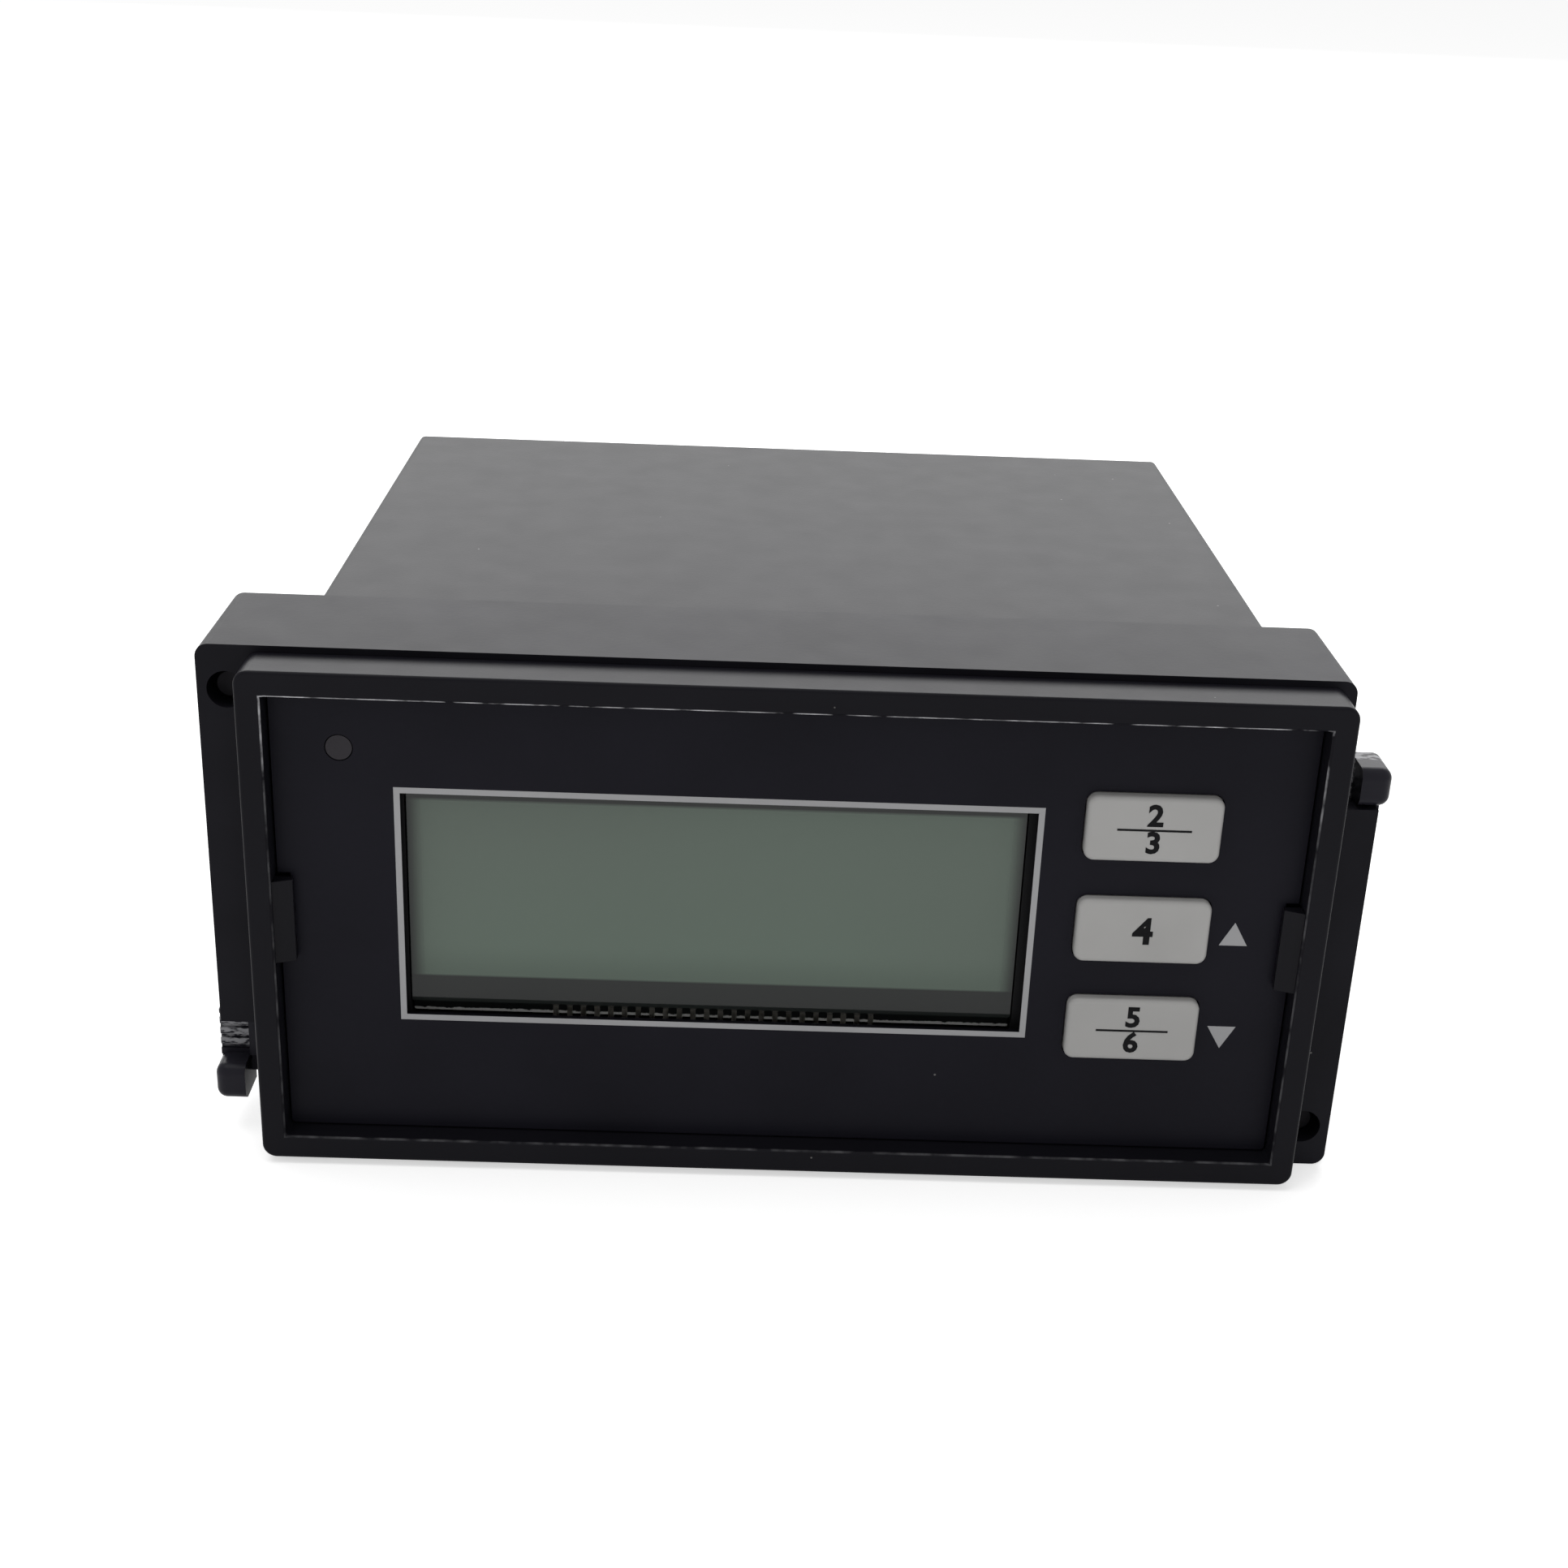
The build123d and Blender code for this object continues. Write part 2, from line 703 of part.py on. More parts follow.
with BuildPart() as ring:
    with BuildSketch(across(ring_front_y)) as ring_face:
        with BuildLine():
            Polyline(*ring_outline, close=True)
        make_face()
        corners = ring_face.vertices().group_by(Axis.Y)[0] + ring_face.vertices().group_by(Axis.Y)[-1]
        fillet(corners, ring_corner)
        RectangleRounded(ring_opening_width, ring_opening_height, ring_inner_corner, mode=Mode.SUBTRACT)
    extrude(amount=-ring_depth)
    for turn in (1, -1):
        # Clamp screw: wide bore at the front, thread behind it, and a pocket for the head.
        thread_end = ring_front_y + clamp_pocket_floor
        thread_y = (ring_front_y, thread_end)
        rod(turn * clamp_x, -turn * clamp_z, clamp_radius + clamp_fit, thread_y, Mode.SUBTRACT)
        bore_end = ring_front_y + tip_bore_depth
        rod(turn * clamp_x, -turn * clamp_z, tip_bore_radius, (ring_front_y, bore_end), Mode.SUBTRACT)
        head_room = clamp_head_radius + clamp_pocket_gap
        head_x = sided(turn, clamp_x - head_room, ring_side + lock_gap)
        head_z = sided(-turn, clamp_z - head_room, clamp_z + head_room)
        block(head_x, (thread_end, ring_rear_y), head_z, Mode.SUBTRACT)
        # Slide lock: a T-shaped channel, open to the side and to the notch, and a window to the case.
        slot_z = sided(turn, lock_bottom, notch_end)
        block(sided(turn, ring_side - lock_floor, ring_side + lock_gap), lock_slot_y, slot_z, Mode.SUBTRACT)
        undercut_x = sided(turn, ring_side - lock_floor, lock_inner + lock_flange_thickness + lock_gap)
        block(undercut_x, undercut_y, slot_z, Mode.SUBTRACT)
        window_x = sided(turn, ring_opening_width / 2 - lock_gap, ring_side - lock_floor)
        window_z = sided(turn, lock_bottom, pawl_top + lock_pull + lock_end_gap)
        block(window_x, (pawl_y[0] - lock_gap, pawl_y[1] + lock_gap), window_z, Mode.SUBTRACT)
        # Hollow in the side wall, open at the rear.
        hollow_x = sided(turn, ring_opening_width / 2 + ring_pocket_wall, ring_side - ring_pocket_wall)
        hollow_y = (ring_front_y + ring_pocket_floor, ring_rear_y)
        hollow_z = sided(turn, lock_bottom - ring_pocket_wall, -ring_pocket_end)
        block(hollow_x, hollow_y, hollow_z, Mode.SUBTRACT)
save(ring, "mount_ring")


# Clamp screws: pan head with a single slot, tip just inside the ring's front face.
def make_clamp_screw(turn):
    """Clamp screw of the lower right corner, or of the upper left where turn is -1."""
    tip_y = ring_front_y + clamp_tip_setback
    head_y = tip_y + clamp_length
    x = turn * clamp_x
    z = -turn * clamp_z
    with BuildPart() as screw:
        rod(x, z, clamp_radius, (tip_y, head_y))
        rod(x, z, clamp_head_radius, (head_y, head_y + clamp_head_height))
        chamfer(screw.faces().sort_by(Axis.Y)[-1].edges(), clamp_head_edge)
        chamfer(screw.faces().sort_by(Axis.Y)[0].edges(), clamp_radius / 4)
        slot_y = (head_y + clamp_head_height - screw_slot_depth, head_y + clamp_head_height)
        slot_x = (x - clamp_head_radius, x + clamp_head_radius)
        block(slot_x, slot_y, (z - screw_slot_width / 2, z + screw_slot_width / 2), Mode.SUBTRACT)
    return screw


save(make_clamp_screw(1), "clamp_screw_right")
save(make_clamp_screw(-1), "clamp_screw_left")


# Slide locks: a head in the notch, a T-shaped stem in the channel, and a pawl that faces the rack.
def make_lock(turn, pull):
    """Slide lock of the right side, or of the left side where turn is -1, drawn out by pull."""
    def level(low, high):
        return sided(turn, low + pull, high + pull)

    head_low = notch_end + lock_head_gap
    head_y = (ring_front_y + lock_head_setback, ring_front_y + lock_head_depth)
    stem_outer = ring_side + lock_gap
    with BuildPart() as lock:
        # Head, with round outer corners and a round front edge on its free side.
        with BuildSketch(across(head_y[1])) as head_outline:
            middle_z = turn * (head_low + pull + lock_head_height / 2)
            with Locations((turn * (lock_head_inner + lock_head_outer) / 2, middle_z)):
                Rectangle(lock_head_outer - lock_head_inner, lock_head_height)
            outer_corners = head_outline.vertices().group_by(Axis.X)[-1 if turn > 0 else 0]
            fillet(outer_corners, lock_head_corner)
        extrude(head_outline.sketch, amount=head_y[1] - head_y[0])
        free_face = lock.faces().filter_by(Axis.Z).sort_by(Axis.Z)[-1 if turn > 0 else 0]
        fillet(free_face.edges().sort_by(Axis.Y)[0], lock_head_edge)
        # Stem, its wide flange in the undercut, and the grip that stands beside the ring.
        block(sided(turn, lock_inner, stem_outer), stem_y, level(lock_stem_low, lock_stem_top))
        flange_x = sided(turn, lock_inner, lock_inner + lock_flange_thickness)
        block(flange_x, lock_flange_y, level(lock_stem_low, notch_end))
        grip_x = sided(turn, stem_outer, stem_outer + lock_grip_thickness)
        block(grip_x, stem_y, level(lock_grip_low, lock_stem_top))
        for ridge in range(lock_grip_ridges):
            groove = lock_grip_low + lock_ridge_width + ridge * lock_ridge_pitch
            groove_y = (stem_y[0], stem_y[0] + lock_ridge_depth)
            groove_x = sided(turn, lock_inner + lock_flange_thickness, stem_outer + lock_grip_thickness)
            block(groove_x, groove_y, level(groove, groove + lock_ridge_width), Mode.SUBTRACT)
        # Pawl with two teeth across its tip.
        pawl_x = sided(turn, ring_opening_width / 2, lock_inner)
        block(pawl_x, pawl_y, level(lock_stem_low, pawl_top))
        tooth_x = sided(turn, ring_opening_width / 2, ring_opening_width / 2 + pawl_tooth)
        tooth_y = ((pawl_y[0] + pawl_y[1] - pawl_tooth) / 2, (pawl_y[0] + pawl_y[1] + pawl_tooth) / 2)
        block(tooth_x, tooth_y, level(lock_stem_low, pawl_top), Mode.SUBTRACT)
    return lock


save(make_lock(1, 0), "slide_lock_right")
save(make_lock(-1, lock_pull), "slide_lock_left")


# Long boards in the rails of the case.
def make_long_board(low_z):
    """Long board with holes for the tails of its terminal header."""
    tail_y = header_front_y - header_tail_gap - header_pin_size / 2
    tail_hole = header_pin_size + 2 * header_pin_gap
    with BuildPart() as board:
        with BuildSketch(Plane.XY.offset(low_z)) as outline:
            with Locations((0, (long_board_front_y + long_board_rear_y) / 2)):
                Rectangle(long_board_width, long_board_rear_y - long_board_front_y)
            with Locations(*[(x, tail_y) for x in ways]):
                Rectangle(tail_hole, tail_hole, mode=Mode.SUBTRACT)
        extrude(outline.sketch, amount=board_thickness)
    return board


save(make_long_board(power_board_low), "power_board")
save(make_long_board(measuring_board_low), "measuring_board")


def make_link(pin_z):
    """Row of pins between the display board and a long board."""
    with BuildPart() as link:
        strip_z = (pin_z - link_height / 2, pin_z + link_height / 2)
        block((-link_width / 2, link_width / 2), (board_rear_y, board_rear_y + link_depth), strip_z)
        for pin in range(link_pin_count):
            x = (pin - (link_pin_count - 1) / 2) * link_pin_pitch
            pin_x = (x - link_pin_size / 2, x + link_pin_size / 2)
            pin_y = (board_rear_y, board_rear_y + link_pin_length)
            block(pin_x, pin_y, (pin_z - link_pin_size / 2, pin_z + link_pin_size / 2))
    return link


link_lift = link_pin_lift + link_pin_size / 2
save(make_link(power_board_top + link_lift), "board_link_lower")
save(make_link(measuring_board_low - link_lift), "board_link_upper")


# Transformer: a laminated core with its coil round the middle leg.
core_z = power_board_top + core_height / 2
with BuildPart() as core:
    with BuildSketch(across(core_y + core_depth / 2)):
        with Locations((core_x, core_z)):
            Rectangle(core_width, core_height)
            with GridLocations(core_leg + core_window_width, 0, 2, 1):
                Rectangle(core_window_width, core_window_height, mode=Mode.SUBTRACT)
    extrude(amount=core_depth)
save(core, "transformer_core")

coil_half_x = core_leg / 2 + core_window_width - coil_gap
coil_half_y = core_depth / 2 + coil_overhang
with BuildPart() as coil:
    with BuildSketch(Plane.XY.offset(core_z - core_window_height / 2 + coil_gap)):
        with Locations((core_x, core_y)):
            RectangleRounded(2 * coil_half_x, 2 * coil_half_y, coil_overhang / 2)
            Rectangle(core_leg + 2 * coil_gap, core_depth + 2 * coil_gap, mode=Mode.SUBTRACT)
    extrude(amount=core_window_height - 2 * coil_gap)
save(coil, "transformer_coil")


# Relays, capacitor, buzzer and processor.
def make_relay(x):
    """Sealed relay on the power board."""
    with BuildPart() as relay:
        with BuildSketch(Plane.XY.offset(power_board_top)) as outline:
            with Locations((x, relay_y)):
                Rectangle(relay_width, relay_depth)
        extrude(outline.sketch, amount=relay_height)
        fillet(relay.edges().filter_by(Axis.Z), relay_edge)
        chamfer(relay.faces().sort_by(Axis.Z)[-1].edges(), relay_edge / 2)
    return relay


save(make_relay(relay_x[0]), "relay_left")
save(make_relay(relay_x[1]), "relay_right")

capacitor_wall_x = capacitor_x + capacitor_radius
capacitor_groove_z = power_board_top + capacitor_groove_level
capacitor_top = power_board_top + capacitor_height
with BuildPart() as capacitor:
    with BuildSketch(Plane.XZ.offset(-capacitor_y)):
        with BuildLine():
            Polyline(
                (capacitor_x, power_board_top),
                (capacitor_wall_x, power_board_top),
                (capacitor_wall_x, capacitor_groove_z - capacitor_groove),
                (capacitor_wall_x - capacitor_groove, capacitor_groove_z),
                (capacitor_wall_x, capacitor_groove_z + capacitor_groove),
                (capacitor_wall_x, capacitor_top - capacitor_edge),
                (capacitor_wall_x - capacitor_edge, capacitor_top),
                (capacitor_x, capacitor_top),
                close=True,
            )
        make_face()
    revolve(axis=Axis((capacitor_x, capacitor_y, 0), (0, 0, 1)))
save(capacitor, "bulk_capacitor")

with BuildPart() as buzzer:
    with BuildSketch(Plane.XY.offset(measuring_board_low - buzzer_height)):
        with Locations((buzzer_x, buzzer_y)):
            Circle(buzzer_radius)
    extrude(amount=buzzer_height)
    chamfer(buzzer.faces().sort_by(Axis.Z)[0].edges(), buzzer_edge)
    with BuildSketch(Plane.XY.offset(measuring_board_low - buzzer_height)):
        with Locations((buzzer_x, buzzer_y)):
            Circle(buzzer_hole)
    extrude(amount=buzzer_height / 4, mode=Mode.SUBTRACT)
save(buzzer, "buzzer")

with BuildPart() as processor:
    with BuildSketch(Plane.XY.offset(measuring_board_low - processor_height)) as chip:
        with Locations((processor_x, processor_y)):
            Rectangle(processor_size, processor_size)
        chamfer(chip.vertices(), processor_corner)
    extrude(amount=processor_height)
save(processor, "processor")


# Terminal headers at the rear. face is 1 for the lower one, which stands on its board, and -1 for the
# upper one, which hangs under its board.
header_seats = {"lower": (power_board_top, 1), "upper": (measuring_board_low, -1)}


def header_levels(seat, face):
    """Lower limit, middle and upper limit of a header's height."""
    far = seat + face * header_height
    return min(seat, far), (seat + far) / 2, max(seat, far)


def make_header(seat, face):
    """Header, open to the rear, with a hole for each pin."""
    low, middle, high = header_levels(seat, face)
    half = header_width / 2
    with BuildPart() as header:
        block((-half, half), (header_front_y, body_length), (low, high))
        inside_x = (-half + header_wall, half - header_wall)
        inside_z = (low + header_wall, high - header_wall)
        block(inside_x, (header_front_y + header_floor, body_length), inside_z, Mode.SUBTRACT)
        hole = header_pin_size + 2 * header_pin_gap
        with Locations(*[(x, header_front_y + header_floor / 2, middle) for x in ways]):
            Box(hole, header_floor, hole, mode=Mode.SUBTRACT)
    return header


def make_header_pins(seat, face):
    """Bent pins, from the board to the inside of the header."""
    low, middle, high = header_levels(seat, face)
    half = header_pin_size / 2
    tail_y = header_front_y - header_tail_gap
    tail_end = seat - face * (board_thickness + header_tail_reach)
    with BuildPart() as pins:
        for x in ways:
            pin_y = (tail_y - header_pin_size, header_front_y + header_floor + header_pin_reach)
            block((x - half, x + half), pin_y, (middle - half, middle + half))
            tail_z = sorted((tail_end, middle + face * half))
            block((x - half, x + half), (tail_y - header_pin_size, tail_y), tail_z)
    return pins


def make_plug(seat, face):
    """Plug with a wire entry, a screw well and a pin socket for each way."""
    low, middle, high = header_levels(seat, face)
    inner_half = header_width / 2 - header_wall - plug_gap
    nose_z = (low + header_wall + plug_gap, high - header_wall - plug_gap)
    body_z = (nose_z[0] - plug_body_margin, nose_z[1] + plug_body_margin)
    body_front_y = body_length + plug_gap
    with BuildPart() as plug:
        block((-inner_half, inner_half), (plug_front_y, plug_rear_y), nose_z)
        body_half = inner_half + plug_body_margin
        block((-body_half, body_half), (body_front_y, plug_rear_y), body_z)
        fillet(plug.edges().filter_by(Axis.X).group_by(Axis.Y)[-1], plug_body_margin)
        with Locations(*[(x, plug_rear_y - wire_entry_depth / 2, middle) for x in ways]):
            Box(wire_entry_width, wire_entry_depth, wire_entry_height, mode=Mode.SUBTRACT)
        with Locations(*[(x, plug_front_y + socket_depth / 2, middle) for x in ways]):
            Box(socket_size, socket_depth, socket_size, mode=Mode.SUBTRACT)
        well = plug_screw_sink + plug_screw_height
        outer_z = body_z[0] if face > 0 else body_z[1]
        with Locations(*[(x, body_front_y + plug_screw_y, outer_z + face * well / 2) for x in ways]):
            Cylinder(plug_screw_radius + plug_screw_fit, well, mode=Mode.SUBTRACT)
    return plug


def make_plug_screws(seat, face):
    """Slotted clamp screws in the wells of a plug."""
    low, middle, high = header_levels(seat, face)
    margin = plug_body_margin - header_wall - plug_gap
    outer_z = low - margin if face > 0 else high + margin
    top = outer_z + face * plug_screw_sink
    y = body_length + plug_gap + plug_screw_y
    with BuildPart() as screws:
        with Locations(*[(x, y, top + face * plug_screw_height / 2) for x in ways]):
            Cylinder(plug_screw_radius, plug_screw_height)
        with Locations(*[(x, y, top + face * screw_slot_depth / 2) for x in ways]):
            Box(2 * plug_screw_radius, screw_slot_width, screw_slot_depth, mode=Mode.SUBTRACT)
    return screws


for name, (seat, face) in header_seats.items():
    save(make_header(seat, face), "terminal_header_" + name)
    save(make_header_pins(seat, face), "header_pins_" + name)
    save(make_plug(seat, face), "terminal_plug_" + name)
    save(make_plug_screws(seat, face), "plug_screws_" + name)


# Rear cover with its windows, vents and countersunk screws.
window_width = header_width + 2 * cover_window_gap
window_height = header_height + 2 * cover_window_gap
with BuildPart() as rear_cover:
    with BuildSketch(across(body_length)):
        RectangleRounded(inner_width - 2 * cover_gap, inner_height - 2 * cover_gap, body_inner_corner)
        for seat, face in header_seats.values():
            with Locations((0, header_levels(seat, face)[1])):
                Rectangle(window_width, window_height, mode=Mode.SUBTRACT)
        with Locations((-vent_x, 0), (vent_x, 0)):
            with GridLocations(vent_pitch, 0, vent_count, 1):
                SlotOverall(vent_height, vent_width, rotation=90, mode=Mode.SUBTRACT)
        with Locations(*post_spots):
            Circle(cover_screw_radius + screw_fit, mode=Mode.SUBTRACT)
    extrude(amount=cover_thickness)
    with BuildSketch(across(body_length)):
        with Locations(*post_spots):
            Circle(cover_screw_head + screw_fit)
    extrude(amount=cover_screw_head - cover_screw_radius, taper=45, mode=Mode.SUBTRACT)
save(rear_cover, "rear_cover")

with BuildPart() as cover_screws:
    with BuildSketch(across(body_length)):
        with Locations(*post_spots):
            Circle(cover_screw_head)
    extrude(amount=cover_screw_head - cover_screw_radius, taper=45)
    with BuildSketch(across(body_length)):
        with Locations(*post_spots):
            Circle(cover_screw_radius)
    extrude(amount=cover_screw_length)
    for x, z in post_spots:
        slot_y = (body_length - screw_slot_depth, body_length)
        arm = cover_screw_radius
        half_slot = screw_slot_width / 2
        block((x - arm, x + arm), slot_y, (z - half_slot, z + half_slot), Mode.SUBTRACT)
        block((x - half_slot, x + half_slot), slot_y, (z - arm, z + arm), Mode.SUBTRACT)
save(cover_screws, "cover_screws")
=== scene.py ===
"""Looks of a panel-mounted conductivity controller, laid out as a Blender add-on.

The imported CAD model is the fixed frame. This file gives its nodes their finishes and cuts the
printed film anew, with round corners where it meets the keys. It adds the printing on the film and
the keys and the threads of the clamp screws, and sets up the stage with its lights and camera.
Lengths are in metres, in the frame of the CAD model: X to the right, Y into the panel, Z up.
"""

import math

import bmesh
import bpy
from mathutils import Matrix, Vector


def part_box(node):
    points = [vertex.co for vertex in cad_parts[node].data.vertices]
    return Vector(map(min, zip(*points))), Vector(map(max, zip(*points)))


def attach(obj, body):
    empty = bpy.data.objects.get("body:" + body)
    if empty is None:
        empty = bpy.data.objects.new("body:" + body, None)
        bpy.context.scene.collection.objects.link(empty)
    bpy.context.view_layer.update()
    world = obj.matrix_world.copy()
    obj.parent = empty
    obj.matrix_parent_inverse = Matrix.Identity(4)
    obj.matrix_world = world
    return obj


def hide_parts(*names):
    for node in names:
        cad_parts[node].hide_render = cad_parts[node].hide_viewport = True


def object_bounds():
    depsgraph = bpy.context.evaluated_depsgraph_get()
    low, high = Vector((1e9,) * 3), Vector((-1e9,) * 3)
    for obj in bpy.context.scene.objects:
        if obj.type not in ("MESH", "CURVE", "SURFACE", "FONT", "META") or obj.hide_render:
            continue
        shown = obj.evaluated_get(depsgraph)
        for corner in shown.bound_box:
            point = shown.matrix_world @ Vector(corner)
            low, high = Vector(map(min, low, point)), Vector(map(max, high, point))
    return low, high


bl_info = {
    "name": "Conductivity controller",
    "version": (1, 0, 0),
    "blender": (4, 5, 0),
    "location": "3D View > Sidebar > Controller",
    "description": "Finishes, film, printing, threads and stage of a conductivity controller",
    "category": "Object",
}

MM = 0.001

# Finish of moulded plastic. PLASTIC_IOR is low, because the moulded faces hardly mirror
CLOUD_SIZE = 14 * MM
WEAR_SIZE = 4 * MM
PLASTIC_IOR = 1.15
GLOSSY_IOR = 1.45
DUST_SPACING = 3.6 * MM
DUST_SHARE = 0.3
DUST_TONE = (0.35, 0.34, 0.33)

# Other finishes
PLATING_GRAIN = 0.4 * MM
TRACK_SPACING = 9 * MM
CORE_SHEETS = 3 * MM
GLASS_CLOUD_SIZE = 45 * MM
CHIP_HEIGHT = 0.4 * MM
CHIP_SIZE = 0.5 * MM

# Painted highlight on the bezel, a bright line along the edge of its recess: half the size of the
# recess, the width of the line and of its soft rims, the length of its breaks, and how far back it
# reaches
RECESS_HALF_WIDTH = 45.8 * MM
RECESS_HALF_HEIGHT = 21.7 * MM
HIGHLIGHT_WIDTH = 0.1 * MM
HIGHLIGHT_RIM = 0.06 * MM
HIGHLIGHT_BREAKS = 2.2 * MM
HIGHLIGHT_BACK_TO = -4.55 * MM
HIGHLIGHT_TONE = (0.75, 0.75, 0.78)

# Scratches with a painted sheen on the slide locks: where their heads end, and between which levels
# their stems lie
LOCK_HEAD_REAR = 2.85 * MM
STEM_INNER_LEVEL = 12.3 * MM
STEM_OUTER_LEVEL = 17.0 * MM
SCRATCH_SIZE = 0.45 * MM
SCRATCH_AND_SHEEN_TONE = (0.42, 0.42, 0.44)

# Film: its opening over the display as left, right, low and high, its notches for the catches, its
# corners, the flange of each key behind it, the corners of the keys, and the light pipe
WINDOW = (-34.55 * MM, 21.55 * MM, -9.65 * MM, 12.3 * MM)
NOTCH_DEPTH = 1.15 * MM
NOTCH_HALF_HEIGHT = 4.3 * MM
FILM_CORNER = 0.4 * MM
KEY_FLANGE = 0.75 * MM
KEY_CORNER = 0.95 * MM
LIGHT_PIPE_RADIUS = 1.25 * MM

# Printing: corners of the arrows as X and Z, and the numbers on the keys from top to bottom
ARROW_UP = [(38.87 * MM, -0.1 * MM), (41.42 * MM, -0.1 * MM), (40.12 * MM, 2.2 * MM)]
ARROW_DOWN = [(38.8 * MM, -8.43 * MM), (40.13 * MM, -10.7 * MM), (41.4 * MM, -8.43 * MM)]
KEY_NUMBERS = {"upper": "23", "middle": "4", "lower": "56"}
INK_GRAIN = 0.2 * MM
BAR_LENGTH = 6.6 * MM
BAR_WIDTH = 0.2 * MM
SINGLE_NUMBER_SCALE = 1.25
LINE_SPACING = 1.27
FONT_SIZE = 1.38
FONT_WEIGHT = 0.045

# Threads of the clamp screws
SHANK_RADIUS = 1.5 * MM
THREAD_START = 0.7 * MM
THREAD_LENGTH = 11 * MM
STEPS_PER_TURN = 20
RIDGE_SIDES = 4

# Stage: half the width of the floor, the place and size of each lamp, and the camera as fitted to
# the photograph's edges
FLOOR_HALF = 6.0
REAR_LAMP = ((0.0, 1.15, 0.75), (1.9, 0.9))
TOP_LAMP = ((-0.25, -0.1, 1.2), (0.8, 0.8))
LENS = 49.34
SENSOR_WIDTH = 36.0
CAMERA_PLACE = (-4.905 * MM, -175.546 * MM, 87.307 * MM)
CAMERA_RIGHT = (0.99927, -0.00672, 0.0377)
CAMERA_AHEAD = (0.02085, 0.92119, -0.38857)

WELD_DISTANCE = 1e-7

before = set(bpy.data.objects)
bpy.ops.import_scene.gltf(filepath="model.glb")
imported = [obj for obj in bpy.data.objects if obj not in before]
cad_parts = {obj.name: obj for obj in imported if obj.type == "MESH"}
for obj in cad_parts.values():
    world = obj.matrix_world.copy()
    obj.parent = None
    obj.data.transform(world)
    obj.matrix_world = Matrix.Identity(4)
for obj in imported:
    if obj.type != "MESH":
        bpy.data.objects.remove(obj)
cad_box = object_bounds()
film_low, film_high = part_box("film")


# Settings that a user may change

class PlasticSettings(bpy.types.PropertyGroup):
    """Colours and gloss of the moulded pieces"""

    case_tone: bpy.props.FloatVectorProperty(
        name="Case", description="Base colour of the case and the ring",
        subtype="COLOR", size=3, min=0, max=1, default=(0.0086, 0.0083, 0.0112))
    film_tone: bpy.props.FloatVectorProperty(
        name="Film", description="Base colour of the printed film",
        subtype="COLOR", size=3, min=0, max=1, default=(0.0108, 0.0104, 0.0152))
    key_tone: bpy.props.FloatVectorProperty(
        name="Keys", description="Base colour of the key caps",
        subtype="COLOR", size=3, min=0, max=1, default=(0.47, 0.465, 0.455))
    terminal_tone: bpy.props.FloatVectorProperty(
        name="Terminals", description="Base colour of the plugs and their headers",
        subtype="COLOR", size=3, min=0, max=1, default=(0.035, 0.23, 0.10))
    case_roughness: bpy.props.FloatProperty(
        name="Case roughness", description="Roughness of the moulded case",
        subtype="FACTOR", min=0, max=1, default=0.36)
    grain_size: bpy.props.FloatProperty(
        name="Grain size", description="Size of the fine grain that the mould leaves",
        subtype="DISTANCE", unit="LENGTH", min=0.00005, max=0.002, default=0.00035)
    dust: bpy.props.FloatProperty(
        name="Dust", description="How much dust lies on the dark pieces",
        subtype="FACTOR", min=0, max=1, default=0.5)


class DisplaySettings(bpy.types.PropertyGroup):
    """Colours of the display"""

    polariser_tone: bpy.props.FloatVectorProperty(
        name="Polariser", description="Colour of the polarising film over the cells",
        subtype="COLOR", size=3, min=0, max=1, default=(0.148, 0.198, 0.160))
    bare_glass_tone: bpy.props.FloatVectorProperty(
        name="Bare glass", description="Colour of the glass beside the polarising film",
        subtype="COLOR", size=3, min=0, max=1, default=(0.020, 0.023, 0.022))
    left: bpy.props.FloatProperty(
        name="Left", description="Left edge of the polarising film",
        subtype="DISTANCE", unit="LENGTH", default=-33.6 * MM)
    right: bpy.props.FloatProperty(
        name="Right", description="Right edge of the polarising film",
        subtype="DISTANCE", unit="LENGTH", default=20.2 * MM)
    low: bpy.props.FloatProperty(
        name="Low", description="Lower edge of the polarising film",
        subtype="DISTANCE", unit="LENGTH", default=-6.4 * MM)
    high: bpy.props.FloatProperty(
        name="High", description="Upper edge of the polarising film",
        subtype="DISTANCE", unit="LENGTH", default=11.1 * MM)


class PrintSettings(bpy.types.PropertyGroup):
    """Printing on the film and the keys"""

    ink_tone: bpy.props.FloatVectorProperty(
        name="Light ink", description="Colour of the lines and arrows on the film",
        subtype="COLOR", size=3, min=0, max=1, default=(0.42, 0.42, 0.43))
    key_ink_tone: bpy.props.FloatVectorProperty(
        name="Dark ink", description="Colour of the numbers on the keys",
        subtype="COLOR", size=3, min=0, max=1, default=(0.008, 0.008, 0.009))
    key_gap: bpy.props.FloatProperty(
        name="Key gap", description="Gap between a key and the film round it",
        subtype="DISTANCE", unit="LENGTH", min=0.00002, max=0.0005, default=0.12 * MM)
    ink_depth: bpy.props.FloatProperty(
        name="Ink depth", description="How far the ink stands on its face",
        subtype="DISTANCE", unit="LENGTH", min=0.000005, max=0.0001, default=0.02 * MM)
    line_width: bpy.props.FloatProperty(
        name="Line width", description="Width of the line round the display",
        subtype="DISTANCE", unit="LENGTH", min=0.0001, max=0.002, default=0.55 * MM)
    number_height: bpy.props.FloatProperty(
        name="Number height", description="Height of the numbers on the keys",
        subtype="DISTANCE", unit="LENGTH", min=0.0005, max=0.005, default=2.05 * MM)


class ThreadSettings(bpy.types.PropertyGroup):
    """Threads of the clamp screws"""

    pitch: bpy.props.FloatProperty(
        name="Pitch", description="Distance between two turns of the thread",
        subtype="DISTANCE", unit="LENGTH", min=0.0002, max=0.002, default=0.5 * MM)
    height: bpy.props.FloatProperty(
        name="Height", description="How far the thread stands over its core",
        subtype="DISTANCE", unit="LENGTH", min=0.00002, max=0.0005, default=0.045 * MM)


